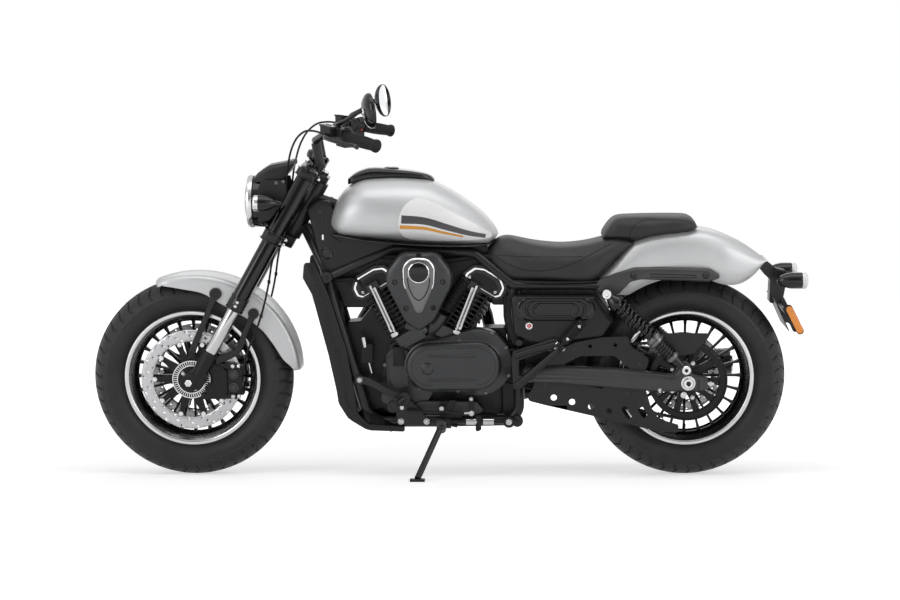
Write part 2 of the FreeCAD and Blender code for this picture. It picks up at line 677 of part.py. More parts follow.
grips, controls, mirrors, glasses = [], [], [], []
for side in (-1, 1):
    body, hollow = sleeve(side, "grip_radius", 0, sheet.grip_length)
    grips.append(cut(body, [hollow]))
    grips.append(rod("grip_radius - 2", on_bar(side, -0.3), on_bar(side, -14)))
    body, hollow = sleeve(side, "21", sheet.grip_length + 1, sheet.grip_length + 30)
    controls.append(cut(body, [hollow]))
    body, hollow = sleeve(side, "17", PERCH, PERCH + 20)
    arm = rod("9", on_bar(side, PERCH + 10, 12), on_bar(side, PERCH + 8, 44))
    stud = rod("6", on_bar(side, PERCH + 12, 0, 12), on_bar(side, PERCH + 12, 0, 26))
    lever = rod("6.5", on_bar(side, PERCH + 14, 44, -2), on_bar(side, 18, 58, -4))
    controls.append(cut(fuse([body, arm, stud, lever]), [hollow]))
    centre = Vector(-205, side * 330, 1188)
    facing_back = Vector(0.93, -side * 0.30, 0.12).normalize()
    stem_foot = on_bar(side, PERCH + 12, 0, 26.3)
    mirrors.append(fuse([cylinder("mirror_radius", "mirror_depth", centre, facing_back),
                         rod("5", stem_foot, stem_foot + Z_AXIS * 14),
                         rod("5", stem_foot + Z_AXIS * 14, centre + facing_back * 4 - Z_AXIS * 44)]))
    glass_spot = centre + facing_back * (sheet.mirror_depth + sheet.seat_gap)
    glasses.append(cylinder("mirror_radius - 4", "2", glass_spot, facing_back))
node("grips", grips)
node("hand_controls", controls)
node("mirrors", mirrors)
node("mirror_glass", glasses)
gauge_foot = fork_place(upper_top + sheet.seat_gap, -14)
node("gauge", [fuse([rod("10", gauge_foot, gauge_foot + STEER_UP * 22),
                     rod("27", gauge_foot + STEER_UP * 20, gauge_foot + STEER_UP * 50)])])

# hoses and cables, held at both ends by the steering
def hose(name, points, ferrules):
    """Bent tube with arcs as large as its runs allow, and a ferrule at each end."""
    radii = [0]
    for before, spot, after in zip(points, points[1:], points[2:]):
        back, ahead = before - spot, after - spot
        half_turn = (math.pi - back.getAngle(ahead)) / 2
        radii.append(0.45 * min(back.Length, ahead.Length) / math.tan(half_turn))
    radii.append(0)
    path = round_path(points, radii)
    line = tube(points, sheet.hose_radius, radii)
    share = line.Shape.Volume / (math.pi * sheet.hose_radius ** 2 * path.Length)
    print(f"{name}: length {path.Length:.1f}, volume {share:.4f} of section x length")
    print("  bend radii " + " ".join(f"{radius:.0f}" for radius in radii[1:-1]))
    return fuse([line] + ferrules)


caliper_turn = Rotation(Y_AXIS, CALIPER_TURN)
caliper_reach = sheet.front_disc_radius + sheet.brake_clearance - 15
caliper_middle = FRONT_AXLE + caliper_turn.multVec(Vector(caliper_reach, 0, 0))
hose_foot = caliper_middle + caliper_turn.multVec(Vector(12, 0, 56 + sheet.seat_gap)) - Y_AXIS * 90
hose_top = fork_place(lower - sheet.seat_gap, FORK_LINE - 18, -74)
hose_points = [hose_foot + caliper_turn.multVec(Z_AXIS) * 3, Vector(-617, -92, 382), Vector(-601, -96, 428),
               Vector(-579, -100, 477), Vector(-560, -101, 530), Vector(-545, -100, 584),
               Vector(-534, -96, 638),
               Vector(-527, -90, 688), Vector(-518, -81, 728), hose_top - STEER_UP * 6]
hose_ends = [rod("5", hose_foot, hose_foot + caliper_turn.multVec(Z_AXIS) * 12),
             rod("5", hose_top - STEER_UP * 12, hose_top)]
node("brake_hoses", both_sides([hose("brake hose", hose_points, hose_ends)]))
cable_foot = Vector(-476, 80.5, lamp.z + 24 + sheet.seat_gap)
cable_points = [on_bar(1, PERCH + 18, 44), Vector(-366, 249, 1124), Vector(-403, 204, 1123),
                Vector(-434, 164, 1097),
                Vector(-454, 138, 1058), Vector(-465, 117, 1016), Vector(-472, 97, 974),
                Vector(-475, 85, 937),
                cable_foot + Z_AXIS * 3]
cable_ends = [rod("4.5", cable_foot, cable_foot + Z_AXIS * 14)]
node("control_cables", both_sides([hose("control cable", cable_points, cable_ends)]))

# ---------------------------------------------------------------- frame
tube_r = sheet.frame_tube_radius
spread = sheet.cradle_spread
rear_spread = sheet.rear_upright_spread
cradle_height = 186
head_low, head_high = lower + sheet.clamp_thickness + 1, upper - 1
head = rod("head_tube_radius", fork_place(head_low, STEER_LINE), fork_place(head_high, STEER_LINE))
head_bore = rod("stem_radius + bearing_clearance", fork_place(head_low - 20, STEER_LINE),
                fork_place(head_high + 20, STEER_LINE))
neck_low, neck_high = fork_place(602, STEER_LINE - 26), fork_place(690, STEER_LINE - 26)
upright_x = PIVOT.x - 34
rail_height, rail_spread = 628, 104
backbone_line = [neck_high, Vector(-250, 0, 838), Vector(20, 0, 800), Vector(112, 0, 752)]
frame_pieces = [tube(backbone_line, sheet.backbone_radius, [0, 60, 60, 0])]
for side in (-1, 1):
    y = side * spread
    rear_y = side * rear_spread
    frame_pieces.append(tube([neck_low + Vector(0, side * 10, 0), Vector(-362, y * 0.55, 680),
                              Vector(-338, y, 592),
                              Vector(-262, y, 330), Vector(-222, y, cradle_height),
                              Vector(0, y, cradle_height),
                              Vector(upright_x, rear_y, cradle_height), Vector(upright_x, rear_y, 520),
                              Vector(236, side * 98, rail_height - 4)], tube_r,
                             [0, 30, 60, 60, 70, 60, 50, 70, 0]))
    frame_pieces.append(tube([Vector(-352, y, 650), Vector(-142, side * 66, 742), Vector(110, side * 66, 728),
                              Vector(239, side * rail_spread, rail_height),
                              Vector(525, side * rail_spread, rail_height)],
                             14, [0, 60, 60, 40, 0]))
for x, z, y_half in ((-236, cradle_height + 10, spread), (upright_x - 4, 440, rear_spread), (110, 728, 66),
                     (500, rail_height, rail_spread)):
    frame_pieces.append(rod("12", Vector(x, -y_half, z), Vector(x, y_half, z)))
frame_pieces.append(cylinder("24", "150", PIVOT - Y_AXIS * 75))
cover_boss = Vector(-392, 0, 866)
frame_pieces += [rod("7", cover_boss + Y_AXIS * (side * 20),
                     cover_boss + Y_AXIS * (side * (64 - sheet.seat_gap)))
                 for side in (-1, 1)]
peg_stub = Vector(upright_x, 0, 452)
frame_pieces.append(cylinder("10", "300", peg_stub - Y_AXIS * 150))
shock_stud = Vector(528, 0, 612)
frame_pieces += [rod("shock_stud_radius", shock_stud + Y_AXIS * (side * 96),
                     shock_stud + Y_AXIS * (side * (sheet.shock_spread + 12)))
                 for side in (-1, 1)]
pivot_bore = cylinder("axle_radius + bearing_clearance", "200", PIVOT - Y_AXIS * 100)

STAND_PIVOT = Vector(sheet.stand_pivot_x, -sheet.stand_pivot_spread, sheet.stand_pivot_height)
STAND_AXIS = Vector(0, 0.748, -0.663).normalize()
lug_end = Vector(sheet.stand_pivot_x + 8, -spread - 34, 184)
stand_lug = block("44", "50", "30", Vector(sheet.stand_pivot_x + 8, -spread - 10, cradle_height))
stand_eye_half = 11.5
ear_from = stand_eye_half + sheet.seat_gap
stand_pieces = [cylinder("6", "36", STAND_PIVOT - STAND_AXIS * 14, STAND_AXIS),
                cylinder("15", "9", STAND_PIVOT + STAND_AXIS * ear_from, STAND_AXIS),
                rod("10", STAND_PIVOT + STAND_AXIS * 22, lug_end)]
node("frame",
     [cut(fuse_in_turn([head] + frame_pieces + [stand_lug] + stand_pieces), [head_bore, pivot_bore])])

panel_in = spread + tube_r + sheet.seat_gap
node("head_side_covers", both_sides([plate([(-408, 868, 6), (-380, 890, 6), (-354, 838, 10), (-340, 784, 14),
                                            (-215, 758, 6), (-215, 742, 6), (-300, 735, 20), (-336, 690, 10),
                                            (-362, 688, 6)], -72, 8)]))
lean_back = math.atan2(76, 262)
radiator_normal = Vector(-math.cos(lean_back), 0, -math.sin(lean_back))
radiator_half = 16
radiator_centre = Vector(-300, 0, 460) + radiator_normal * (tube_r + radiator_half + sheet.seat_gap)
node("radiator",
     [block(2 * radiator_half, "170", "290", radiator_centre, Rotation(Y_AXIS, -math.degrees(lean_back)))])
node("radiator_shroud", both_sides([plate([(-420, 700, 8), (-424, 650, 8), (-396, 600, 10), (-346, 406, 10),
                                           (-318, 292, 10), (-290, 192, 20), (-236, 156, 20), (-110, 148, 6),
                                           (-110, 166, 6), (-226, 176, 14), (-250, 210, 10), (-268, 330, 6),
                                           (-280, 420, 20), (-334, 590, 10), (-372, 660, 8), (-392, 700, 8)],
                                          -panel_in - 10, 10)]))

# ---------------------------------------------------------------- engine
half_case = sheet.case_half_width
deck = sheet.deck_height
lean = math.radians(sheet.cylinder_lean)


def from_crank(sign, up, across):
    """Point in a cylinder's own directions; sign -1 is the front one, across is outwards."""
    return CRANK + Vector(sign * (math.sin(lean) * up + math.cos(lean) * across), 0,
                          math.cos(lean) * up - math.sin(lean) * across)


deck_half = sheet.fin_length / 2 + 4
deck_points = [from_crank(-1, deck, deck_half), from_crank(-1, deck, -deck_half),
               from_crank(1, deck, -deck_half), from_crank(1, deck, deck_half)]
case_bottom = cradle_height + tube_r + sheet.seat_gap
case_rows = [(point.x, point.z, 0) for point in deck_points]
case_rows += [(190, 426, 14), (198, case_bottom, 20), (-120, case_bottom, 20), (-176, case_bottom + 10, 24),
              (-192, 300, 20)]
case = plate(case_rows, -half_case, 2 * half_case)
tappet_block = block("34", "56", "60", Vector(-126, -half_case - 16, 400))
front_pulley_radius = 42
FRONT_PULLEY = Vector(150, -sheet.belt_plane, 372)
front_pulley = fuse([cylinder(front_pulley_radius, "belt_width",
                              FRONT_PULLEY - Y_AXIS * (sheet.belt_width / 2)),
                     rod("15", FRONT_PULLEY, Vector(FRONT_PULLEY.x, 1 - half_case, FRONT_PULLEY.z))])
node("crankcase", [fuse([case, tappet_block, front_pulley])])
cylinders, rocker_covers = [], []
for sign in (-1, 1):
    turn = Rotation(Y_AXIS, sign * sheet.cylinder_lean)
    top_at = deck + 14 + (sheet.fin_count - 1) * sheet.fin_pitch + 12
    barrel = rod("cylinder_radius", from_crank(sign, deck + sheet.seat_gap, 0), from_crank(sign, top_at, 0))
    fins = [block("fin_length", "2 * fin_half_width", "fin_thickness",
                  from_crank(sign, deck + 14 + i * sheet.fin_pitch, 0), turn)
            for i in range(int(sheet.fin_count))]
    cylinders.append(fuse([barrel] + fins))
    cover_at = top_at + sheet.seat_gap + sheet.cover_depth / 2
    rocker_covers.append(block("fin_length + 8", "2 * fin_half_width", "cover_depth",
                               from_crank(sign, cover_at, 0), turn))
node("cylinders", cylinders)
node("rocker_covers", rocker_covers)


def primary_outline(start, depth, grow):
    """The primary cover's stadium of two unequal circles, from y = start outwards."""
    return [cylinder(108 + grow, depth, Vector(127, start, 381), -Y_AXIS),
            cylinder(78 + grow, depth, Vector(-26, start, 369), -Y_AXIS),
            plate([(-26, 291 - grow, 0), (127, 273 - grow, 0), (127, 489 + grow, 0), (-26, 447 + grow, 0)],
                  start - worth(depth), depth)]


cover_face = -half_case - sheet.seat_gap
belt_pocket = block("180", "54", "160", Vector(180, cover_face - 26, 359))
node("primary_cover", [cut(fuse(primary_outline(cover_face, "primary_depth", 0)), [belt_pocket])])
node("right_engine_cover", [cylinder("96", "56", Vector(100, -cover_face, 364)),
                            cylinder("64", "44", Vector(-70, -cover_face, 330))])
intake = cylinder("26", "124", Vector(CRANK.x, -100, 600))
runner = rod("16", Vector(CRANK.x - 75.9, 0, 600), Vector(CRANK.x + 75.9, 0, 600))
node("air_cleaner",
     [fuse([plate([(-150, 736, 26), (-54, 750, 60), (42, 736, 26), (30, 630, 60), (-54, 528, 26),
                                  (-138, 630, 60)], -190, 90), intake, runner])])
tubes = []
for foot, head_at in ((Vector(-122, -92, 433.6), Vector(-206, -92, 620)),
                      (Vector(44, -92, 440), Vector(114, -92, 620))):
    for shift in (-11, 11):
        slide = Vector(shift, -shift * 0.4, 0)
        tubes.append(rod("8", foot + slide, head_at + slide))
clear_cover = primary_outline(cover_face, "primary_depth", sheet.seat_gap)
node("pushrod_tubes", [cut(fuse(tubes), clear_cover)])

exhaust_side = half_case + 103
port_face = sheet.fin_half_width + sheet.seat_gap
pipe_front = tube([Vector(-204, port_face, 570), Vector(-204, 112, 570), Vector(-262, exhaust_side, 470),
                   Vector(-262, exhaust_side, 300), Vector(-180, exhaust_side, 222),
                   Vector(200, exhaust_side, 216),
                   Vector(430, 200, 252)], sheet.exhaust_radius, [0, 26, 50, 60, 60, 80, 0])
pipe_rear = tube([Vector(112, port_face, 590), Vector(112, 112, 590), Vector(150, exhaust_side - 6, 500),
                  Vector(170, exhaust_side - 6, 400), Vector(250, 178, 300), Vector(430, 200, 296)],
                 sheet.exhaust_radius, [0, 26, 50, 60, 70, 0])
node("exhaust",
     [fuse([pipe_front, pipe_rear, rod("muffler_radius", Vector(420, 206, 274), Vector(960, 214, 330))])])

# ---------------------------------------------------------------- tank, seats, bodywork
tank_half = sheet.tank_half_width
tank_outline = [(-350, 838, 26), (-340, 896, 30), (-290, 945, 50), (-225, 958, 60), (-20, 958, 200),
                (80, 920, 160), (172, 846, 50), (186, 778, 16), (100, 757, 60), (-80, 757, 100),
                (-340, 795, 30)]
tank = Part.Face(rounded_wire(tank_outline, "XZ", -tank_half)).extrude(Vector(0, 2 * tank_half, 0))
tank_ends = [(-tank_half, 740, 0), (tank_half, 740, 0), (tank_half, 800, 60), (118, 920, 80),
             (50, 965, 60), (-50, 965, 60), (-118, 920, 80), (-tank_half, 800, 60)]
tank_section = rounded_wire(tank_ends, "YZ", -360)
tank_sides = [(-350, -tank_half, 90), (186, -tank_half, 60), (186, tank_half, 60), (-350, tank_half, 90)]
tank_plan = rounded_wire(tank_sides, "XY", 700)
tunnel = Part.makeBox(545, 64, 165, Vector(-400, -32, 740))
tank_shape = tank.common(Part.Face(tank_section).extrude(Vector(560, 0, 0)))
tank_shape = tank_shape.common(Part.Face(tank_plan).extrude(Vector(0, 0, 300))).cut(tunnel)
for x, z in ((-200, 850), (-10, 825)):
    tank_shape = tank_shape.fuse(Part.makeBox(30, 64, 908 - z, Vector(x, -32, z)))
tank_shape = tank_shape.cut(tube(backbone_line, sheet.backbone_radius + sheet.seat_gap, [0, 60, 60, 0]).Shape)
node("fuel_tank", [feature(tank_shape, "TankShape")])
node("tank_console",
     [plate([(-270, 958.3, 4), (-262, 980, 14), (-225, 992, 30), (-60, 982, 30), (-34, 958.3, 4)],
                            -45, 90)])
seat_base = rail_height + 14 + sheet.seat_gap
node("rider_seat", [plate([(200, 742, 20), (215, 778, 16), (330, 752, 150), (463, 758, 100), (512, 774, 14),
                           (560, 752, 20), (500, seat_base, 20), (240, seat_base, 20)],
                          -sheet.seat_half_width * 0.86, sheet.seat_half_width * 1.72)])

fender_half = sheet.rear_fender_half_width
front_tip, rear_tip = rear_place(-212, 0, 262), rear_place(252, 0, 378)
crest_front, crest = rear_place(-160, 0, 440), rear_place(41, 0, 478)
fender_outline = [(front_tip.x, front_tip.z, 10), (crest_front.x, crest_front.z, 20), (crest.x, crest.z, 120),
                  (REAR_AXLE.x + 171, REAR_AXLE.z + 428, 120), (rear_tip.x, rear_tip.z, 8),
                  (REAR_AXLE.x + 214, REAR_AXLE.z + 334, 8), (REAR_AXLE.x + 79, REAR_AXLE.z + 330, 30)]
fender_face = Part.Face(rounded_wire(fender_outline, "XZ", -fender_half))
fender_solid = fender_face.extrude(Vector(0, 2 * fender_half, 0))
wall = sheet.rear_fender_thickness
inside_face = fender_face.makeOffset2D(-wall)
inside = inside_face.extrude(Vector(0, 2 * (fender_half - wall), 0))
inside.translate(Vector(0, wall, 0))
inside_below = inside.copy()
inside_below.translate(Vector(0, 0, -2 * wall))
wheel_room = Part.makeCylinder(sheet.rear_tyre_radius + 34, 2 * (fender_half - wall),
                               REAR_AXLE - Y_AXIS * (fender_half - wall), Y_AXIS)
node("rear_fender", [feature(fender_solid.cut(inside).cut(inside_below).cut(wheel_room), "RearFender")])
slope = (crest.z - crest_front.z) / (crest.x - crest_front.x)


def on_crest(x):
    """Height just above the fender's straight top line."""
    return crest_front.z + slope * (x - crest_front.x) + 0.6


pillion_front, pillion_rear = REAR_AXLE.x - 144, REAR_AXLE.x + 10
pillion = plate([(REAR_AXLE.x - 266, REAR_AXLE.z + 454, 8), (REAR_AXLE.x - 228, REAR_AXLE.z + 513, 20),
                 (pillion_rear, REAR_AXLE.z + 520, 16), (REAR_AXLE.x + 42, REAR_AXLE.z + 492, 8),
                 (pillion_rear, on_crest(pillion_rear), 4), (pillion_front, on_crest(pillion_front), 4)],
                -sheet.pillion_half_width, "2 * pillion_half_width")
node("pillion_seat", [pillion])
side_cover = plate([(217, 466, 20), (470, 466, 20), (556, 522, 20), (520, 606, 20), (217, 606, 20)], -150, 30)
rest_height = rail_height - 14 - sheet.seat_gap - 10
rail_rests = [block("20", "24", "20", Vector(x, -110, rest_height)) for x in (300, 470)]
node("side_covers", both_sides([fuse([side_cover] + rail_rests)]))
strut = plate([(525.3, 610, 6), (525.3, 646, 6), (585, 690, 20), (REAR_AXLE.x + 70, 684, 10),
               (REAR_AXLE.x + 102, 656, 8), (REAR_AXLE.x + 60, 640, 10), (610, 646, 20), (560, 606, 8)],
              -fender_half - 14 - sheet.seat_gap, 14)
stud_room = cylinder("shock_stud_radius + seat_gap", 2 * sheet.shock_spread,
                     shock_stud - Y_AXIS * sheet.shock_spread)
node("fender_struts", both_sides([cut(strut, [stud_room])]))
PLATE_CENTRE, PLATE_TURN = rear_place(292, 0, 208), Rotation(Y_AXIS, -25)
outward = PLATE_TURN.multVec(X_AXIS)
plate_holes = [cylinder("plate_bolt_radius", "20",
                        PLATE_CENTRE + Y_AXIS * (side * sheet.plate_bolt_spacing / 2) - outward * 10, outward)
               for side in (-1, 1)]
bracket_rows = [(221, 340.6, 2), (247, 370.7, 2), (290, 374, 4), (322, 338, 6), (322, 318, 6), (292, 244, 4),
                (260, 244, 4), (286, 318, 8), (268, 330, 6)]
bracket = plate([(REAR_AXLE.x + x, REAR_AXLE.z + z, r) for x, z, r in bracket_rows], -30, 60)
holder = block("4", "190", "110", PLATE_CENTRE, PLATE_TURN)
arms = [block("60", "4", "20", rear_place(322, side * 92, 198)) for side in (-1, 1)]
node("tail_bracket", [cut(fuse([bracket, holder] + arms), plate_holes)])
node("rear_indicators", [fuse([cylinder("25", "75", rear_place(300, side * 120, 324), X_AXIS),
                               rod("7", rear_place(310, side * 98, 328), rear_place(310, side * 30.3, 328))])
                         for side in (-1, 1)])
node("reflectors",
     [block("19", "7", "87", rear_place(341, side * (94 + 3.5 + sheet.seat_gap), 196), PLATE_TURN)
                    for side in (-1, 1)])

# ---------------------------------------------------------------- rear suspension and drive
shock_top, shock_bottom = shock_stud, rear_place(-11, 0, 50)
shock_down = (shock_bottom - shock_top).normalize()
arms = []
for side in (-1, 1):
    low = side * sheet.swingarm_spread - sheet.swingarm_thickness / 2
    arms.append(plate([(PIVOT.x - 26, PIVOT.z - 24, 14), (PIVOT.x - 26, PIVOT.z + 24, 14), (380, 374, 30),
                       (REAR_AXLE.x - 60, REAR_AXLE.z + 28, 20),
                       (shock_bottom.x - 20, shock_bottom.z + 18, 12),
                       (shock_bottom.x + 20, shock_bottom.z + 18, 12),
                       (REAR_AXLE.x + 58, REAR_AXLE.z + 22, 16),
                       (REAR_AXLE.x + 62, REAR_AXLE.z - 30, 16), (380, 316, 30)], low, "swingarm_thickness"))
    arms.append(rod("18", PIVOT + Y_AXIS * (side * (75 + sheet.seat_gap)),
                    PIVOT + Y_AXIS * (side * (beam_face - 4))))
    arms.append(rod("shock_stud_radius", shock_bottom + Y_AXIS * (side * (beam_face - 8)),
                    shock_bottom + Y_AXIS * (side * (sheet.shock_spread + 12))))
arms.append(cylinder("24", 2 * (sheet.swingarm_spread - 8), Vector(356, 8 - sheet.swingarm_spread, 345)))
arm_bores = [cylinder("axle_radius + bearing_clearance", "400", spot - Y_AXIS * 200)
             for spot in (PIVOT, REAR_AXLE)]
node("swingarm", [cut(fuse(arms), arm_bores)])
pivot_end = beam_face + 4.3
pivot_caps = [cylinder("17", "4", PIVOT + Y_AXIS * (side * (beam_face + sheet.seat_gap)), Y_AXIS * side)
              for side in (-1, 1)]
pivot_shaft = fuse([cylinder("axle_radius", 2 * pivot_end, PIVOT - Y_AXIS * pivot_end)] + pivot_caps)
node("rear_axle_and_pivot", [pivot_shaft] + rear_axle)
shocks, springs = [], []
for side in (-1, 1):
    y = Y_AXIS * (side * sheet.shock_spread)
    top, bottom = shock_top + y, shock_bottom + y
    upper_seat, lower_seat = top + shock_down * 44, bottom - shock_down * 66
    holes = [cylinder("shock_stud_radius + bearing_clearance", "40", end - Y_AXIS * 20)
             for end in (top, bottom)]
    shocks.append(cut(fuse([cylinder("15", "24", top - Y_AXIS * 12),
                            cylinder("15", "24", bottom - Y_AXIS * 12),
                            rod("8", top, bottom),
                            rod("spring_radius - 2", top + shock_down * 10, upper_seat),
                            rod("shock_collar_radius - 4", bottom - shock_down * 130, bottom),
                            rod("spring_radius - 2", lower_seat, lower_seat + shock_down * 12)]), holes))
    coil = rod("spring_radius", upper_seat + shock_down * sheet.seat_gap,
               lower_seat - shock_down * sheet.seat_gap)
    springs.append(cut(coil, [rod("shock_collar_radius - 2", upper_seat - shock_down * 10,
                                  lower_seat + shock_down * 10)]))
node("shock_absorbers", shocks)
node("shock_springs", springs)

def belt_outline(grow):
    """Solid inside the belt's path round both pulleys: two tangent runs and two arcs."""
    front, rear = FRONT_PULLEY, Vector(REAR_AXLE.x, FRONT_PULLEY.y, REAR_AXLE.z)
    small, large = front_pulley_radius + grow, sheet.pulley_radius + grow
    span = rear - front
    tilt = math.atan2(span.z, span.x)
    swing = math.asin((large - small) / span.Length)
    y = FRONT_PULLEY.y - sheet.belt_width / 2

    def spot(centre, radius, angle):
        return Vector(centre.x + radius * math.cos(angle), y, centre.z + radius * math.sin(angle))
    top, bottom = tilt + math.pi / 2 + swing, tilt - math.pi / 2 - swing
    edges = [
        Part.LineSegment(spot(front, small, top), spot(rear, large, top)).toShape(),
        Part.Arc(spot(rear, large, top), spot(rear, large, tilt), spot(rear, large, bottom)).toShape(),
        Part.LineSegment(spot(rear, large, bottom), spot(front, small, bottom)).toShape(),
        Part.Arc(spot(front, small, bottom), spot(front, small, tilt + math.pi),
                 spot(front, small, top)).toShape(),
    ]
    return Part.Face(Part.Wire(edges)).extrude(Vector(0, sheet.belt_width, 0))


belt_inside = belt_outline(sheet.belt_clearance)
belt_outside = belt_outline(sheet.belt_clearance + sheet.belt_thickness)
node("drive_belt", [feature(belt_outside.cut(belt_inside), "Belt")])
guard_y = -(beam_face - sheet.swingarm_thickness - sheet.seat_gap)
upper_guard = plate([(330, 424, 4), (420, 352, 10), (600, 340, 10), (640, 360, 4), (640, 446, 4),
                     (560, 466, 14),
                     (330, 460, 4)], guard_y, 3)
lower_guard = plate([(296, 250, 6), (318, 320.4, 8), (392, 320.4, 8), (479, 262, 20), (546, 298, 20),
                     (668, 288, 20),
                     (773, 166, 6), (741, 146, 8), (629, 170, 10), (588, 186, 20), (476, 205, 20),
                     (383, 230, 20)],
                    guard_y, 3)
node("belt_guards", [upper_guard, lower_guard])
rear_caliper_turn = -170.0
turn = Rotation(Y_AXIS, rear_caliper_turn)
rear_edge = sheet.rear_disc_radius + sheet.brake_clearance + 1
cheek_out = sheet.rear_disc_offset + sheet.disc_thickness / 2 + sheet.brake_clearance + 30
carrier_spot = REAR_AXLE + turn.multVec(Vector(rear_edge - 16, 0, 0))
stay_end = Vector(carrier_spot.x, beam_face - sheet.swingarm_thickness - 0.3, carrier_spot.z)
stay = rod("9", carrier_spot + Y_AXIS * (cheek_out - 4), stay_end)
node("rear_caliper",
     [fuse([caliper(REAR_AXLE, 1, sheet.rear_disc_radius, sheet.rear_disc_offset, rear_caliper_turn), stay])])

# ---------------------------------------------------------------- foot controls, pegs, side stand
control = []
for side in (-1, 1):
    foot = Vector(-250, side * panel_in, 300)
    control.append(fuse([rod("11", foot, foot + Y_AXIS * (side * 26)),
                         rod("11", foot + Y_AXIS * (side * 26), Vector(-140, side * 132, 262)),
                         rod("15", Vector(-140, side * 126, 262), Vector(-140, side * 232, 262))]))
node("foot_controls", control)

PEG_PIVOT, PEG_REST = Vector(384, 178, 446), Vector(0.68, 0, 0.74).normalize()
peg_brackets = []
for label, side in (("left", -1), ("right", 1)):
    pivot = Vector(PEG_PIVOT.x, side * PEG_PIVOT.y, PEG_PIVOT.z)
    hinge = Vector(PEG_REST.z, 0, -PEG_REST.x)
    eye = cylinder("9", "14", pivot - hinge * 7, hinge)
    neck = rod("6", pivot, pivot + PEG_REST * 24)
    bar = rod("12", pivot + PEG_REST * 20, pivot + PEG_REST * 98)
    hole = cylinder("4 + bearing_clearance", "60", pivot - hinge * 30, hinge)
    node(f"passenger_peg_{label}", [cut(fuse([eye, neck, bar]), [hole])])
    peg_pin = cylinder("4", "30", pivot - hinge * 15, hinge)
    ears = [cylinder("10", "7", pivot + hinge * (end - 3.5), hinge) for end in (-10.8, 10.8)]
    low = min(side * 150.3, side * 160.3)
    arm = plate([(upright_x - 14, 440, 6), (upright_x - 14, 466, 6), (392, 462, 8), (400, 430, 8),
                 (270, 330, 8), (upright_x - 8, 330, 8)], low, 10)
    window = plate([(upright_x + 6, 432, 6), (356, 438, 6), (276, 356, 6), (upright_x + 6, 356, 6)],
                   low - 5, 20)
    link = [rod("3.2", pivot + hinge * end,
                Vector(pivot.x + hinge.x * end, side * 158, pivot.z + hinge.z * end))
            for end in (-12.4, 12.4)]
    peg_brackets.append(fuse([cut(arm, [window]), peg_pin] + ears + link))
node("passenger_peg_brackets", peg_brackets)

# the side stand is drawn down, as parked
LEAN = Placement(Vector(0, 0, 0), Rotation(X_AXIS, sheet.lean_angle))
lean_angle = math.radians(sheet.lean_angle)
floor_drop = sheet.front_crown_radius * (1 - math.cos(lean_angle))
foot_y = -292.0
foot_centre = Vector(-60, foot_y, -foot_y * math.tan(lean_angle) - floor_drop / math.cos(lean_angle))
floor_normal = LEAN.Rotation.inverted().multVec(Z_AXIS)
stand_eye = cylinder("16", 2 * stand_eye_half, STAND_PIVOT - STAND_AXIS * stand_eye_half, STAND_AXIS)
stand_hole = cylinder("6 + bearing_clearance", "40", STAND_PIVOT - STAND_AXIS * 20, STAND_AXIS)
leg = rod("stand_tube_radius", STAND_PIVOT, foot_centre + floor_normal * 9)
sole = block("46", "38", "8", foot_centre + floor_normal * 4, LEAN.Rotation.inverted())
node("side_stand_leg", [cut(fuse([stand_eye, leg, sole]), [stand_hole])])

# ---------------------------------------------------------------- parked on the side stand
doc.recompute()
for part in NODES:
    part.Placement = LEAN
doc.recompute()
faulty = [thing.Label for thing in doc.Objects if "Invalid" in thing.State or "Error" in thing.State]
faulty += [part.Label for part in NODES if part.Shape.isNull() or not part.Shape.isValid()]
if faulty:
    raise RuntimeError("these did not build: " + ", ".join(sorted(set(faulty))))
low, high = Vector(1e6, 1e6, 1e6), Vector(-1e6, -1e6, -1e6)
for part in NODES:
    box = part.Shape.optimalBoundingBox(True, False)
    low = Vector(min(low.x, box.XMin), min(low.y, box.YMin), min(low.z, box.ZMin))
    high = Vector(max(high.x, box.XMax), max(high.y, box.YMax), max(high.z, box.ZMax))
PARKED = Placement(Vector(-(low.x + high.x) / 2, -(low.y + high.y) / 2, -low.z), LEAN.Rotation)
for part in NODES:
    part.Placement = PARKED
doc.recompute()

# ---------------------------------------------------------------- checks and export
faulty = [thing.Label for thing in doc.Objects if "Invalid" in thing.State or "Error" in thing.State]
faulty += [part.Label for part in NODES if part.Shape.isNull() or not part.Shape.isValid()]
if faulty:
    raise RuntimeError("these did not build: " + ", ".join(sorted(set(faulty))))
os.makedirs("parts", exist_ok=True)
for part in NODES:
    part.Shape.exportStep(f"parts/{part.Label}.step")
    print(f"{part.Label}: {len(part.Shape.Solids)} solids, {part.Shape.Volume / 1e6:.3f} litres")


def report(label, point, direction=None):
    spot = PARKED.multVec(point)
    text = f"{label}: {spot.x:.3f} {spot.y:.3f} {spot.z:.3f}"
    if direction is not None:
        way = PARKED.Rotation.multVec(direction)
        text += f" along {way.x:.6f} {way.y:.6f} {way.z:.6f}"
    print(text)


report("front axle", FRONT_AXLE, Y_AXIS)
report("rear axle", REAR_AXLE, Y_AXIS)
report("steering", fork_place(head_low, STEER_LINE), STEER_UP)
report("side stand pivot", STAND_PIVOT, STAND_AXIS)
report("stand foot", foot_centre)
for side in (-1, 1):
    report(f"passenger peg {side}", Vector(PEG_PIVOT.x, side * PEG_PIVOT.y, PEG_PIVOT.z), hinge)
report("plate holder", PLATE_CENTRE, outward)
print(f"size: {high.x - low.x:.2f} {high.y - low.y:.2f} {high.z - low.z:.2f}")
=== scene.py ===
import json
import math

import bmesh
import bpy
from mathutils import Matrix, Vector
from mathutils.bvhtree import BVHTree
from mathutils.geometry import tessellate_polygon


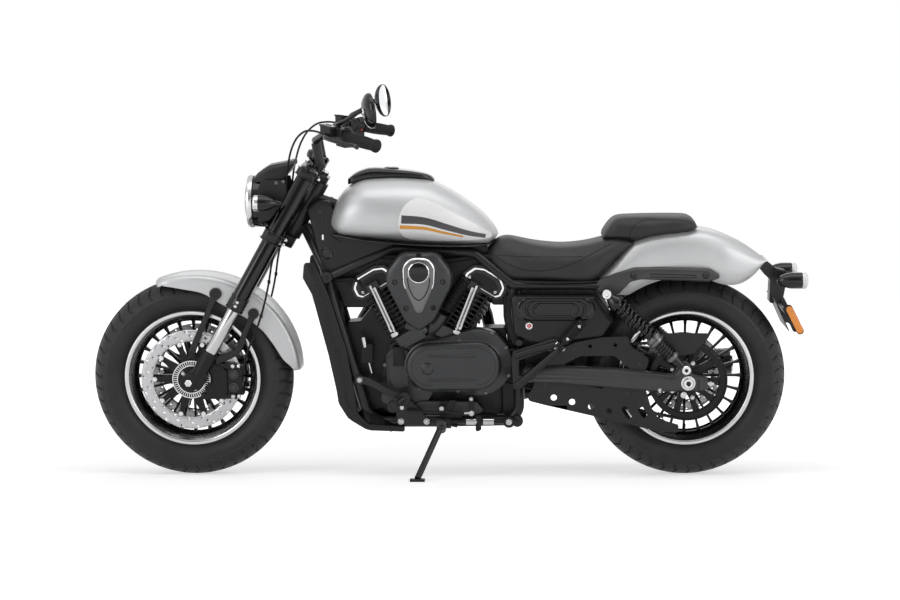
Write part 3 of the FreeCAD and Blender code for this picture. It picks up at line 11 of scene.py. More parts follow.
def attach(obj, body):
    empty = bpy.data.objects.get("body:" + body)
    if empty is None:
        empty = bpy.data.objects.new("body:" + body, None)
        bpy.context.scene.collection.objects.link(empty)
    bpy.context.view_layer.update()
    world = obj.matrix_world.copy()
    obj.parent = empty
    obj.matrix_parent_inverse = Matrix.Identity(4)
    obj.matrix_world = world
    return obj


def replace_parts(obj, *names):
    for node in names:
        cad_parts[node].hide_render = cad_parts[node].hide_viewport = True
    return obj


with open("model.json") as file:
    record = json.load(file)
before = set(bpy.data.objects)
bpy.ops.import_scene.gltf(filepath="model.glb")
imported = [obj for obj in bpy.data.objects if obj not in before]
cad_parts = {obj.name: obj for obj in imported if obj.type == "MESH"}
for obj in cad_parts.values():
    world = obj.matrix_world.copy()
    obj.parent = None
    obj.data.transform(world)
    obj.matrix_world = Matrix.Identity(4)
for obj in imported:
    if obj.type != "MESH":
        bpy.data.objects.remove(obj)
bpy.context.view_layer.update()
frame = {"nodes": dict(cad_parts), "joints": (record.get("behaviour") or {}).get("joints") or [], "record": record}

# Cruiser motorcycle. Lengths are millimetres in the machine's upright drawing, where the front
# wheel is towards -X, the left side towards -Y and the floor at Z = 0. PARKED leans that drawing
# over on its side stand and turns it into metres in the frame's own directions.


def at(x, y, z):
    """A point of the drawing."""
    return Vector((x, y, z))


X, Y, Z = at(1, 0, 0), at(0, 1, 0), at(0, 0, 1)
JOINTS = {joint["name"]: joint for joint in frame["joints"]}
FRONT = at(-790, 0, 320)
REAR = at(790, 0, 322)
PIVOT = at(290, 0, 345)
SHOCK_TOP, SHOCK_FOOT = at(528, 0, 612), at(779, 0, 372)
CRANK = at(-30, 0, 345)
RAKE = math.radians(29)
MM = 0.001      # in metres
STEER_UP = at(math.sin(RAKE), 0, math.cos(RAKE))
STEER_FORE = at(-math.cos(RAKE), 0, math.sin(RAKE))


def parked_matrix():
    """The upright drawing's place in the frame, from the front wheel's axle."""
    wheel = JOINTS["front_wheel_spin"]
    axle = Vector(wheel["axis"])
    lean = Matrix.Rotation(math.atan2(axle.z, axle.y), 4, "X")
    offset = Vector(wheel["pos_m"]) - lean @ (FRONT * MM)
    return Matrix.Translation(offset) @ lean @ Matrix.Scale(MM, 4)


PARKED = parked_matrix()


def mirrored(side, points):
    """Points of the right side, or of the left one when side is -1."""
    return [at(x, side * y, z) for x, y, z in points]


def fork(up, fore, side=0.0):
    """A point in the fork's own directions, from the front axle."""
    return FRONT + STEER_UP * up + STEER_FORE * fore + Y * side


def around(centre, radius, turn, y=0.0):
    """A point beside an axis along Y; the turn is in radians from ahead, upwards."""
    return centre + at(math.cos(turn), 0, math.sin(turn)) * radius + Y * y


# ---------------------------------------------------------------- materials
BROAD_SCALE, FINE_SCALE = 9.0, 60.0     # of the patches of colour and of gloss, per metre
RELIEF_DEPTH = 0.0004                   # of the grain, in metres
COAT_ROUGHNESS = 0.08


def finish(name, colour, metal=0.0, rough=0.4, coat=0.0, grain=0.0, grain_size=1.0, mottle=0.08,
           rough_spread=0.06, cells=False, **sockets):
    """A surface with a little variation in colour and gloss, and a fine relief of its own."""
    material = bpy.data.materials.new(name)
    material.use_nodes = True
    nodes, links = material.node_tree.nodes, material.node_tree.links
    shader = nodes["Principled BSDF"]
    shader.inputs["Metallic"].default_value = metal
    shader.inputs["Coat Weight"].default_value = coat
    shader.inputs["Coat Roughness"].default_value = COAT_ROUGHNESS
    for socket, value in sockets.items():
        shader.inputs[socket.replace("_", " ")].default_value = value
    place = nodes.new("ShaderNodeTexCoord")
    broad = nodes.new("ShaderNodeTexNoise")
    broad.inputs["Scale"].default_value = BROAD_SCALE
    broad.inputs["Detail"].default_value = 6.0
    links.new(place.outputs["Object"], broad.inputs["Vector"])
    shades = nodes.new("ShaderNodeValToRGB")
    shades.color_ramp.elements[0].position, shades.color_ramp.elements[1].position = 0.35, 0.68
    shades.color_ramp.elements[0].color = [c * (1 - mottle) for c in colour] + [1]
    shades.color_ramp.elements[1].color = [min(1, c * (1 + mottle)) for c in colour] + [1]
    links.new(broad.outputs["Fac"], shades.inputs["Fac"])
    links.new(shades.outputs["Color"], shader.inputs["Base Color"])
    fine = nodes.new("ShaderNodeTexNoise")
    fine.inputs["Scale"].default_value = FINE_SCALE
    fine.inputs["Detail"].default_value = 8.0
    links.new(place.outputs["Object"], fine.inputs["Vector"])
    gloss = nodes.new("ShaderNodeMapRange")
    gloss.inputs["To Min"].default_value = max(0.02, rough - rough_spread)
    gloss.inputs["To Max"].default_value = rough + rough_spread
    links.new(fine.outputs["Fac"], gloss.inputs["Value"])
    links.new(gloss.outputs["Result"], shader.inputs["Roughness"])
    if grain:
        relief = nodes.new("ShaderNodeTexVoronoi" if cells else "ShaderNodeTexNoise")
        relief.inputs["Scale"].default_value = 1000.0 / grain_size
        links.new(place.outputs["Object"], relief.inputs["Vector"])
        bump = nodes.new("ShaderNodeBump")
        bump.inputs["Strength"].default_value = grain
        bump.inputs["Distance"].default_value = RELIEF_DEPTH
        links.new(relief.outputs["Distance" if cells else "Fac"], bump.inputs["Height"])
        links.new(bump.outputs["Normal"], shader.inputs["Normal"])
    return material


LOOKS = {
    "tyre": finish("tyre_rubber", (0.03, 0.03, 0.0305), rough=0.48, grain=0.25, grain_size=1.2, mottle=0.2,
                   Specular_IOR_Level=0.25),
    "rim_black": finish("wheel_black", (0.005, 0.005, 0.0055), rough=0.28, coat=0.15, grain=0.05,
            Specular_IOR_Level=0.25),
    "bright_lip": finish("machined_lip", (0.6, 0.6, 0.61), metal=1.0, rough=0.2, grain=0.1, grain_size=0.5),
    "disc_steel": finish("ground_steel", (0.5, 0.5, 0.51), metal=0.85, rough=0.32, grain=0.15,
            grain_size=0.6),
    "frame_black": finish("satin_black", (0.016, 0.016, 0.0165), rough=0.33, coat=0.1, grain=0.06,
            grain_size=0.8, Specular_IOR_Level=0.25),
    "engine_black": finish("cast_black", (0.0065, 0.0065, 0.007), rough=0.36, grain=0.3, grain_size=1.4,
                           Specular_IOR_Level=0.25),
    "engine_grey": finish("cast_grey", (0.042, 0.043, 0.045), rough=0.36, metal=0.45, grain=0.22,
            grain_size=1.2),
    "chrome": finish("chrome", (0.74, 0.74, 0.75), metal=1.0, rough=0.07, rough_spread=0.02, mottle=0.01),
    "silver_paint": finish("satin_silver", (0.58, 0.585, 0.592), metal=0.42, rough=0.42, coat=0.2, grain=0.1,
                           grain_size=0.35, mottle=0.02, rough_spread=0.03),
    "black_plastic": finish("black_plastic", (0.011, 0.011, 0.0115), rough=0.4, grain=0.2, grain_size=0.9,
                            Specular_IOR_Level=0.3),
    "gloss_black": finish("gloss_black", (0.003, 0.003, 0.0035), rough=0.14, coat=0.2, mottle=0.3,
            Specular_IOR_Level=0.3),
    "seat_leather": finish("seat_cover", (0.022, 0.022, 0.0235), rough=0.5, Specular_IOR_Level=0.35,
            grain=0.6, grain_size=2.2, cells=True, mottle=0.15),
    "rubber": finish("moulded_rubber", (0.009, 0.009, 0.009), rough=0.6, grain=0.3, grain_size=1.0,
                     Specular_IOR_Level=0.25),
    "lens_clear": finish("clear_lens", (0.95, 0.96, 0.97), rough=0.05, rough_spread=0.02, mottle=0.0,
                         Transmission_Weight=0.95, IOR=1.45),
    "mirror_silver": finish("mirror_glass", (0.9, 0.91, 0.93), metal=1.0, rough=0.03, rough_spread=0.01,
            mottle=0.0),
    "orange_reflector": finish("orange_reflector", (0.95, 0.3, 0.02), rough=0.25, coat=0.6, grain=0.9,
                               grain_size=3.0, cells=True),
    "zinc": finish("plated_steel", (0.66, 0.66, 0.66), metal=1.0, rough=0.25, grain=0.1),
    "dark_metal": finish("dark_metal", (0.14, 0.14, 0.144), metal=0.8, rough=0.3, coat=0.2, grain=0.05),
    "satin_charcoal": finish("satin_charcoal", (0.05, 0.05, 0.052), rough=0.38, grain=0.08, grain_size=0.9,
                             Specular_IOR_Level=0.4),
    "push_chrome": finish("tube_chrome", (0.5, 0.5, 0.505), metal=1.0, rough=0.12),
    "red_switch": finish("red_switch", (0.6, 0.01, 0.02), rough=0.35),
    "white_mark": finish("white_mark", (0.93, 0.93, 0.93), rough=0.3, coat=0.3, mottle=0.02),
    "orange_mark": finish("orange_mark", (0.75, 0.33, 0.03), rough=0.35, coat=0.3, mottle=0.1),
    "dark_mark": finish("dark_mark", (0.03, 0.03, 0.034), rough=0.35, coat=0.3, mottle=0.1),
}
NODE_SLOT = {part["node"]: part["material_slot"] for part in frame["record"]["subparts"]}


# ---------------------------------------------------------------- lines and outlines
def rounded(rows):
    """Outline points from rows of (u, v, corner radius), each corner a tangent arc."""
    outline = []
    count = len(rows)
    for i, (u, v, radius) in enumerate(rows):
        corner = Vector((u, v))
        if radius <= 0:
            outline.append(corner)
            continue
        back = (Vector(rows[i - 1][:2]) - corner).normalized()
        ahead = (Vector(rows[(i + 1) % count][:2]) - corner).normalized()
        half = back.angle(ahead) / 2
        middle = corner + (back + ahead).normalized() * (radius / math.sin(half))
        first = corner + back * (radius / math.tan(half)) - middle
        last = corner + ahead * (radius / math.tan(half)) - middle
        sweep = math.pi - 2 * half
        steps = max(2, int(sweep * radius ** 0.5 * 1.2) + 1)
        for k in range(steps + 1):
            share = k / steps
            outline.append(middle + (first * math.sin((1 - share) * sweep) + last * math.sin(share * sweep))
                           / math.sin(sweep))
    return outline


def smooth_line(points, rounds=6):
    """Points along a smooth curve through the given ones."""
    line = []
    for i in range(len(points) - 1):
        a, b = points[i], points[i + 1]
        before = points[i - 1] if i else a * 2 - b
        after = points[i + 2] if i + 2 < len(points) else b * 2 - a
        for k in range(rounds):
            t = k / rounds
            line.append(0.5 * ((2 * a) + (b - before) * t + (2 * before - 5 * a + 4 * b - after) * t * t
                               + (3 * a - before - 3 * b + after) * t ** 3))
    line.append(points[-1])
    return line


def smooth_ring(points, rounds=3):
    """Closed outline with its corners cut again and again."""
    ring = [Vector(p) for p in points]
    for _ in range(rounds):
        ring = [q for i in range(len(ring)) for q in (ring[i - 1] * 0.25 + ring[i] * 0.75,
                                                      ring[i] * 0.75 + ring[(i + 1) % len(ring)] * 0.25)]
    return ring


def square_to(axis):
    """Two directions square to an axis and to each other."""
    axis = axis.normalized()
    side = axis.cross(Z if abs(axis.z) < 0.9 else X).normalized()
    return side, axis.cross(side)


def follow(rows):
    """A smooth function through rows of (place, value)."""
    line = smooth_line([at(a, b, 0) for a, b in rows], 10)
    places, values = [p.x for p in line], [p.y for p in line]

    def value(place):
        if place <= places[0]:
            return values[0]
        for i in range(len(places) - 1):
            if place <= places[i + 1]:
                share = (place - places[i]) / max(places[i + 1] - places[i], 1e-9)
                return values[i] + (values[i + 1] - values[i]) * share
        return values[-1]
    return value


def power_arc(turn, power):
    """A point of the rounded square x^power + y^power = 1."""
    c, s = math.cos(turn), math.sin(turn)
    return (math.copysign(abs(c) ** (2 / power), c), math.copysign(abs(s) ** (2 / power), s))


def heading(line, i):
    """The direction of a line at its point i."""
    return (line[min(i + 1, len(line) - 1)] - line[max(i - 1, 0)]).normalized()


def drawn_in(outline, middle, share):
    """Every point of an outline moved towards a middle by a share of its distance."""
    return [Vector((p.x + (middle.x - p.x) * share, p.y + (middle.y - p.y) * share)) for p in outline]


def pulled_in(outline, pull):
    """The outline moved square to itself; a negative pull is for one drawn the other way round."""
    ring = []
    for i, p in enumerate(outline):
        way = outline[(i + 1) % len(outline)] - outline[i - 1]
        ring.append(p + Vector((-way.y, way.x)).normalized() * pull if way.length else p)
    return ring


def ribs(first, count, pitch, high, low, flat, groove):
    """Profile rows of a ribbed grip: each rib is flat for a length, then a groove follows."""
    rows = []
    for k in range(count):
        along = first + k * pitch
        rows += [(high, along), (high, along + flat), (low, along + flat + 0.6),
                (low, along + flat + 0.6 + groove)]
    return rows


# ---------------------------------------------------------------- making pieces
WELD = 0.01          # points closer than this become one
CORNERS = ((-1, -1), (1, -1), (1, 1), (-1, 1))
STRAP_SECTION = ((-1, -0.6), (-0.8, -1), (0.8, -1), (1, -0.6), (1, 0.6), (0.8, 1), (-0.8, 1), (-1, 0.6))


def shapes(count):
    """New, empty pieces."""
    return [Shape() for _ in range(count)]


class Shape:
    """A piece in the making, in the upright drawing's millimetres."""

    def __init__(self):
        self.mesh = bmesh.new()

    def skin(self, rings, closed_across=True, closed_along=False, caps=True):
        """Faces between rings of points; a ring of one point is a tip."""
        made = [[self.mesh.verts.new(p) for p in ring] for ring in rings]
        pairs = list(zip(made, made[1:]))
        if closed_along:
            pairs.append((made[-1], made[0]))
        for one, two in pairs:
            span = max(len(one), len(two))
            for i in range(span if closed_across else span - 1):
                j = (i + 1) % span
                corners = [one[i % len(one)], one[j % len(one)], two[j % len(two)], two[i % len(two)]]
                face = list(dict.fromkeys(corners))
                if len(face) > 2:
                    self.mesh.faces.new(face)
        if caps and closed_across and not closed_along:
            for ring in (made[0], made[-1]):
                if len(ring) > 2:
                    self.mesh.faces.new(ring)
        return self

    def lathe(self, profile, centre, axis=Y, steps=72, closed=False):
        """Surface of revolution from rows of (radius, distance along the axis)."""
        side, across = square_to(axis)
        axis = axis.normalized()
        rings = []
        for radius, along in profile:
            middle = centre + axis * along
            if radius < 1e-6:
                rings.append([middle])
                continue
            rings.append([middle + (side * math.cos(a) + across * math.sin(a)) * radius
                          for a in (2 * math.pi * k / steps for k in range(steps))])
        return self.skin(rings, closed_along=closed)

    def rod(self, start, end, radius, end_radius=None, steps=24):
        """Round bar, tapered where its end has a radius of its own."""
        length = (end - start).length
        last = radius if end_radius is None else end_radius
        return self.lathe([(radius, 0), (last, length)], start, end - start, steps)

    def pipe(self, points, radius, steps=14, rounds=6):
        """Round tube along a smooth line through the points; radius may be a list, one a point."""
        line = smooth_line(points, rounds)
        side = square_to(line[1] - line[0])[0]
        rings = []
        for i, spot in enumerate(line):
            way = heading(line, i)
            side = (side - way * side.dot(way)).normalized()
            across = way.cross(side)
            if isinstance(radius, (list, tuple)):
                place = i / rounds
                low = min(int(place), len(radius) - 2)
                size = radius[low] + (radius[low + 1] - radius[low]) * (place - low)
            else:
                size = radius
            rings.append([spot + (side * math.cos(a) + across * math.sin(a)) * size
                          for a in (2 * math.pi * k / steps for k in range(steps))])
        return self.skin(rings)

    def slab(self, rows, place, u, v, depth):
        """Flat plate from rows of (u, v, corner radius); place is the origin, u and v its directions."""
        normal = u.cross(v).normalized()
        outline = rounded(rows)
        return self.skin([[place + u * p.x + v * p.y + normal * level for p in outline]
                for level in (0, depth)])

    def drum(self, centre, axis, radius, half, cut, rise, steps):
        """Short cylinder on a point of its axis, with chamfers cut in by one length and rising by another."""
        return self.lathe([(0, -half), (radius - cut, -half), (radius, rise - half), (radius, half - rise),
                           (radius - cut, half), (0, half)], centre, axis, steps)

    def strap(self, path, width, thickness):
        """Bar of a flat rounded section along a path, standing on edge; width(i) is half its height there."""
        rings = []
        for i, spot in enumerate(path):
            across = heading(path, i).cross(Y).normalized()
            rings.append([spot + across * (u * width(i)) + Y * (v * thickness) for u, v in STRAP_SECTION])
        return self.skin(rings)

    def coil(self, start, way, first, last, radius, wire, turns, steps, sides):
        """Spring round an axis, between two distances from its start."""
        side, across = square_to(way)
        count = turns * steps
        line = []
        for k in range(count + 1):
            turn = 2 * math.pi * k / steps
            line.append(start + way * (first + (last - first) * k / count)
                        + (side * math.cos(turn) + across * math.sin(turn)) * radius)
        return self.pipe(line, wire, sides, 1)

    def box(self, size, centre, turn=None):
        """Block of a size along its own axes, turned about its centre."""
        turn = turn or Matrix.Identity(3)
        x, y, z = (s / 2 for s in size)
        rings = [[centre + turn @ at(i * x, j * y, level) for i, j in CORNERS] for level in (-z, z)]
        return self.skin(rings)

    def bolt(self, spot, way, radius=6.0, height=5.0):
        """Button-headed screw with a hexagon socket."""
        way = way.normalized()
        self.lathe([(0, -2), (radius * 1.25, -2), (radius * 1.25, 0.6), (radius, 0.6), (radius, height * 0.7),
                (radius * 0.8, height), (radius * 0.48, height), (radius * 0.48, height * 0.4),
                (0, height * 0.4)], spot, way, 18)
        return self

    def hull(self, ends, top, bottom, width, waist=0.4, powers=(2.4, 3.0), stations=48, steps=64, lift=None):
        """Closed body along X between smooth top, bottom and half-width lines, widest at the waist."""
        over, under, half = follow(top), follow(bottom), follow(width)
        rings = []
        for i in range(stations + 1):
            x = ends[0] + (ends[1] - ends[0]) * (1 - math.cos(math.pi * i / stations)) / 2
            high, low = over(x), under(x)
            level = low + (high - low) * waist
            ring = []
            for k in range(steps):
                turn = 2 * math.pi * (k + 0.5) / steps
                upper = math.sin(turn) > 0
                across, up = power_arc(turn, powers[0] if upper else powers[1])
                z = level + up * ((high - level) if upper else (level - low))
                ring.append(at(x, across * half(x), z + (lift(x, across) if lift else 0)))
            rings.append(ring)
        return self.skin(rings)

    def around(self, count, centre, axis=Y):
        """Repeats all that is there round an axis."""
        first = self.mesh.verts[:] + self.mesh.edges[:] + self.mesh.faces[:]
        for k in range(1, count):
            copy = bmesh.ops.duplicate(self.mesh, geom=first)["geom"]
            verts = [v for v in copy if isinstance(v, bmesh.types.BMVert)]
            bmesh.ops.rotate(self.mesh, verts=verts, cent=centre,
                    matrix=Matrix.Rotation(2 * math.pi * k / count, 3, axis))
        return self

    def both_sides(self):
        """Adds the mirror image across the machine's middle plane."""
        copy = bmesh.ops.duplicate(self.mesh,
                geom=self.mesh.verts[:] + self.mesh.edges[:] + self.mesh.faces[:])["geom"]
        for v in copy:
            if isinstance(v, bmesh.types.BMVert):
                v.co.y = -v.co.y
        return self

    def done(self, name, body, look, bevel=0.0, solid=0.0, smooth=38):
        """Leans the piece, gives it its finish and hangs it on its body."""
        bmesh.ops.remove_doubles(self.mesh, verts=self.mesh.verts, dist=WELD)
        bmesh.ops.recalc_face_normals(self.mesh, faces=self.mesh.faces)
        data = bpy.data.meshes.new(name)
        self.mesh.transform(PARKED)
        self.mesh.to_mesh(data)
        self.mesh.free()
        piece = bpy.data.objects.new(name, data)
        bpy.context.scene.collection.objects.link(piece)
        data.materials.append(LOOKS[look])
        if solid:
            shell = piece.modifiers.new("Thickness", "SOLIDIFY")
            shell.thickness = solid * MM
            shell.offset = 0
        if bevel:
            soften(piece, bevel)
        shade(data, smooth)
        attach(piece, body)
        return piece


def soften(piece, width):
    """Rounds a piece's hard edges."""
    edge = piece.modifiers.new("Edges", "BEVEL")
    edge.width = width * MM
    edge.segments = 2
    edge.limit_method = "ANGLE"
    edge.angle_limit = math.radians(32)
    edge.harden_normals = True


def shade(data, degrees=38):
    """Smooth shading, with edges kept sharp where faces meet at more than the angle."""
    data.shade_smooth()
    data.set_sharp_from_angle(angle=math.radians(degrees))


def dress_node(name, width=1.2, look=None):
    """Gives a CAD piece its finish and rounds its edges."""
    piece = frame["nodes"][name]
    data = piece.data
    data.materials.clear()
    data.materials.append(LOOKS[look or NODE_SLOT[name]])
    piece.modifiers.new("Weld", "WELD").merge_threshold = 0.02 * MM
    shade(data, 28)
    if width:
        soften(piece, width)


# Edge widths and looks of the CAD pieces that differ from the rest.
DRESSED = {"fork_outer_tubes": (1.5, "gloss_black"), "fork_clamps": (1.5,),
        "fork_inner_tubes": (0.4, "push_chrome"), "front_axle": (0.5,), "brake_hoses": (0,),
        "handlebar": (1.0,), "control_cables": (0,), "crankcase": (2.5,), "exhaust": (1,), "frame": (2.0,),
        "radiator": (2.0,), "drive_belt": (0.6,), "rear_caliper": (2.0,)}
for node_name in frame["nodes"]:
    dress_node(node_name, *DRESSED.get(node_name, ()))


# ---------------------------------------------------------------- wheels
TREAD_STEPS = (0.0, 0.04, 0.19, 0.23, 0.37, 0.5, 0.54, 0.69, 0.73, 0.87)


def tyre(name, node, body, centre, radius, crown, width, rim_width):
    """Tyre with slanted tread grooves, staggered left and right, and stepped side walls."""
    repeats, groove_depth, groove_end = 46, 6.0, width / 2 - 6
    half = width / 2
    across = []
    for degrees in (58, 51, 45, 38, 31, 25, 19, 17, 15, 13, 7, 2):
        a = math.radians(degrees)
        ring_groove = 3.5 if degrees in (17, 15) else 0.0
        across.append((radius - crown * (1 - math.cos(a)), crown * math.sin(a), ring_groove))
    wall = [(206, rim_width / 2 - 7, 0), (221, rim_width / 2 - 7, 0), (226, rim_width / 2 + 1, 0),
            (238, half - 7, 0), (252, half - 1.5, 0), (262, half, 0), (268, half - 0.4, 0),
            (270, half + 0.6, 0), (275, half - 0.2, 0), (radius - 41, half - 3.4, 0)]
    rows = wall + across
    rows += [(r, -y, deep) for r, y, deep in reversed(rows)]
    shape = Shape()
    rings = []
    for r, y, ring_groove in rows:
        reach = abs(y)
        cut = groove_depth if 24 < reach < groove_end and r > radius - 46 else 0.0
        slant = 0.0022 * reach + 0.05 * math.sin(reach / 13)
        ring = []
        for k in range(repeats):
            for i, step in enumerate(TREAD_STEPS):
                in_groove = i in ((1, 2) if y < 0 else (6, 7))
                depth = max(ring_groove, cut if in_groove else 0.0)
                turn = 2 * math.pi * (k + step) / repeats + slant
                ring.append(centre + at(math.sin(turn), 0, math.cos(turn)) * (r - depth) + Y * y)
        rings.append(ring)
    shape.skin(rings, closed_along=True)
    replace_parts(shape.done(name, body, "tyre", smooth=30), node)


def rim(name, node, body, centre, width):
    """Cast wheel: well, machined lips, hub and tapered spokes."""
    half = width / 2
    well = [(203, half - 6.5), (203, half - 22), (192, half - 30), (186, half - 34)]
    inside = [(205, half - 3), (189, half - 20), (181, half - 34)]
    section = well + [(r, -y) for r, y in reversed(well)] + [(r, -y) for r, y in reversed(inside)]
    section += [(211, 3 - half), (203, 6.5 - half)] + inside
    shape = Shape().lathe(section, centre, Y, 120, closed=True)
    shape.lathe([(0, -45), (36, -45), (41, -42), (41, -30), (52, -24), (52, 24), (41, 30), (41, 42), (36, 45),
            (0, 45)], centre, Y, 48)
    spoke_sections = ((40, 12, 23), (70, 8.5, 17), (120, 7, 14), (165, 8, 14), (184, 12, 22))
    rings = [[centre + at(i * w / 2, j * d / 2, r) for i, j in CORNERS] for r, w, d in spoke_sections]
    spoke = Shape().skin(rings).around(24, centre)
    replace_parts(shape.done(name, body, "rim_black", bevel=1.0), node)
    spoke.done(name + "_spokes", body, "rim_black", bevel=1.2)
    lips = Shape()
    for side in (-1, 1):
        edge = [(190, half - 18.5), (204, half - 2.6), (207, half - 0.6), (213, half), (217, half - 1),
                (218, half - 3.5), (216.5, half - 5.8), (206, half - 6.3), (204, half - 4.5),
                (189, half - 20)]
        lips.lathe([(r, side * y) for r, y in edge], centre, Y, 120, closed=True)
    lips.done(name + "_lips", body, "bright_lip", smooth=28)
    valve = Shape().rod(centre + at(0, 0, -188), centre + at(0, -12, -166), 4)
    valve.rod(centre + at(0, -11, -168), centre + at(0, -14, -160), 5).done(name + "_valve", body, "rubber")


def drilled_ring(centre, inner, outer, level, count, rows, hole, drilled):
    """Flat ring of cells; drilled(i, j) says which of them has a round hole in its middle."""
    shape = Shape()
    vert, face = shape.mesh.verts.new, shape.mesh.faces.new
    step, tall = 2 * math.pi / count, (outer - inner) / rows
    for i in range(count):
        for j in range(rows):
            low, start = inner + tall * j, step * i
            edge = [around(centre, low + tall * v, start + step * u, level) for u, v in
                    ((0, 0), (0.5, 0), (1, 0), (1, 0.5), (1, 1), (0.5, 1), (0, 1), (0, 0.5))]
            border = [vert(p) for p in edge]
            if not drilled(i, j):
                face(border)
                continue
            middle = around(centre, low + tall / 2, start + step / 2, level)
            inside = [vert(middle + (p - middle).normalized() * hole) for p in edge]
            for k in range(8):
                face((border[k], border[(k + 1) % 8], inside[(k + 1) % 8], inside[k]))
    return shape


def brake_disc(name, body, centre, side, offset, outer, inner):
    """Floating disc: drilled steel ring, black carrier with arms, buttons and a slotted sensor ring."""
    level = side * offset
    ring = drilled_ring(centre, inner, outer, level, 54, 3, 3.1,
                        lambda i, j: (i + 2 * j) % 3 == 0 or (i % 9 == 4 and j == 1))
    steel = ring.done(name, body, "disc_steel", solid=5, smooth=25)
    arm = [(26, -9, 0), (62, -15, 4), (inner - 24, -8, 4), (inner - 6, -9, 4), (inner - 6, 9, 4),
            (inner - 24, 8, 4), (62, 15, 4), (26, 9, 0)]
    carrier = Shape().slab(arm, centre + Y * (level + 2.5), X, Z, 5).around(10, centre)
    carrier.lathe([(24, level - 3), (58, level - 3), (62, level), (58, level + 3), (24, level + 3)], centre,
            Y, 60, closed=True)
    carrier.lathe([(24, side * 45.5), (38, side * 45.5), (38, level), (24, level)], centre, Y, 40,
            closed=True)
    carrier.done(name + "_carrier", body, "engine_black", bevel=0.8)
    bolts = Shape().bolt(centre + X * 33 + Y * (level + side * 3), Y * side, 5, 5).around(5, centre)
    bolts.done(name + "_bolts", body, "zinc")
    studs = Shape().lathe([(0, 5.5), (4, 5.5), (4, 4), (7, 4), (7, -4), (4, -4), (4, -5.5), (0, -5.5)],
                          centre + X * (inner - 5) + Y * level, Y, 20).around(10, centre)
    studs.done(name + "_buttons", body, "zinc")
    if side < 0:
        teeth = Shape().box((13, 1, 2.4), centre + X * 52 + Y * (level - 4.5)).around(48, centre)
        teeth.done(name + "_sensor_teeth", body, "zinc")
        sensor = Shape()
        for low, high in ((43, 46), (58, 61)):
            sensor.lathe([(low, level - 5), (high, level - 5), (high, level - 4), (low, level - 4)], centre,
                    Y, 72, closed=True)
        sensor.done(name + "_sensor_ring", body, "zinc")
    return steel


def make_wheels():
    """Tyres, rims, drilled discs and the front hub, on the bodies that turn."""
    tyre("front_tyre_tread", "front_tyre", "front_wheel", FRONT, 320, 68, 130, 92)
    tyre("rear_tyre_tread", "rear_tyre", "rear_wheel", REAR, 322, 80, 150, 112)
    rim("front_wheel_casting", "front_rim", "front_wheel", FRONT, 92)
    rim("rear_wheel_casting", "rear_rim", "rear_wheel", REAR, 112)
    left = brake_disc("front_disc_left", "front_wheel", FRONT, -1, 66, 160, 122)
    brake_disc("front_disc_right", "front_wheel", FRONT, 1, 66, 160, 122)
    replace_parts(left, "front_brake_discs")
    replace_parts(brake_disc("rear_disc", "rear_wheel", REAR, 1, 64, 130, 94), "rear_brake_disc")


def make_pulley():
    """Toothed belt pulley on five arms, with its bolts."""
    level, body = -92, "rear_wheel"
    shape = Shape()
    shape.lathe([(104, level + 12), (117, level + 12), (117, level + 10.8), (119.5, level + 10.8),
            (119.5, level - 10.8), (121.6, level - 10.8), (121.6, level - 12), (104, level - 12)], REAR, Y,
            120, closed=True)
    shape.lathe([(22, level + 10), (46, level + 10), (46, level - 10), (22, level - 10)], REAR, Y, 48,
            closed=True)
    shape.lathe([(22, -45.5), (37, -45.5), (37, level + 8), (22, level + 8)], REAR, Y, 40, closed=True)
    arms = Shape().slab([(40, -14, 0), (76, -7, 10), (107, -12, 0), (107, 12, 0), (76, 7, 10), (40, 14, 0)],
                        REAR + Y * (level + 6), X, Z, 12).around(10, REAR)
    teeth = Shape().box((2.6, 21, 3.2), REAR + X * 119.5 + Y * level).around(76, REAR)
    bolts = Shape().bolt(REAR + X * 58 + Y * (level - 6), -Y, 5.5, 6).around(5, REAR)
    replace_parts(shape.done("belt_pulley", body, "engine_black", bevel=0.8), "rear_pulley")
    arms.done("belt_pulley_arms", body, "engine_black", bevel=1.2)
    teeth.done("belt_pulley_teeth", body, "engine_black")
    bolts.done("belt_pulley_bolts", body, "zinc")


make_wheels()
make_pulley()


# ---------------------------------------------------------------- tank, console and patch
def surface_of(piece):
    """The finished surface of a piece, to lay others on."""
    bpy.context.view_layer.update()
    return BVHTree.FromObject(piece, bpy.context.evaluated_depsgraph_get())


def on_surface(tree, x, z, proud):
    """The surface point seen square on from the left at (x, z), raised by a height; None past its edge."""
    start = PARKED @ at(x, -400, z)
    way = (PARKED @ at(x, 0, z) - start).normalized()
    hit = tree.ray_cast(start, way, 1.0)[0]
    return hit and PARKED.inverted() @ (hit - way * (proud * MM))


def seam(name, tree, rows, radius=1.3, sink=0.2):
    """Piping laid along a surface through rows of (x, z), on both sides."""
    line = [on_surface(tree, p.x, p.y, -sink) for p in smooth_line([at(x, z, 0) for x, z in rows], 8)]
    line = [p for p in line if p is not None]
    Shape().pipe(line, radius, 8, 1).both_sides().done(name, "root", "rubber")


def stitches(name, tree, rows, pitch=6.0):
    """A row of short thread stitches along a surface, on both sides."""
    line = smooth_line([at(x, z, 0) for x, z in rows], 30)
    shape, run, last = Shape(), 0.0, line[0]
    for p in line[1:]:
        run += (p - last).length
        if run >= pitch:
            way = (p - last).normalized()
            ends = [on_surface(tree, q.x, q.y, 0.2) for q in (p - way * 1.8, p + way * 1.8)]
            if all(ends):
                shape.rod(ends[0], ends[1], 0.55, steps=6)
            run = 0.0
        last = p
    shape.both_sides().done(name, "root", "engine_grey")


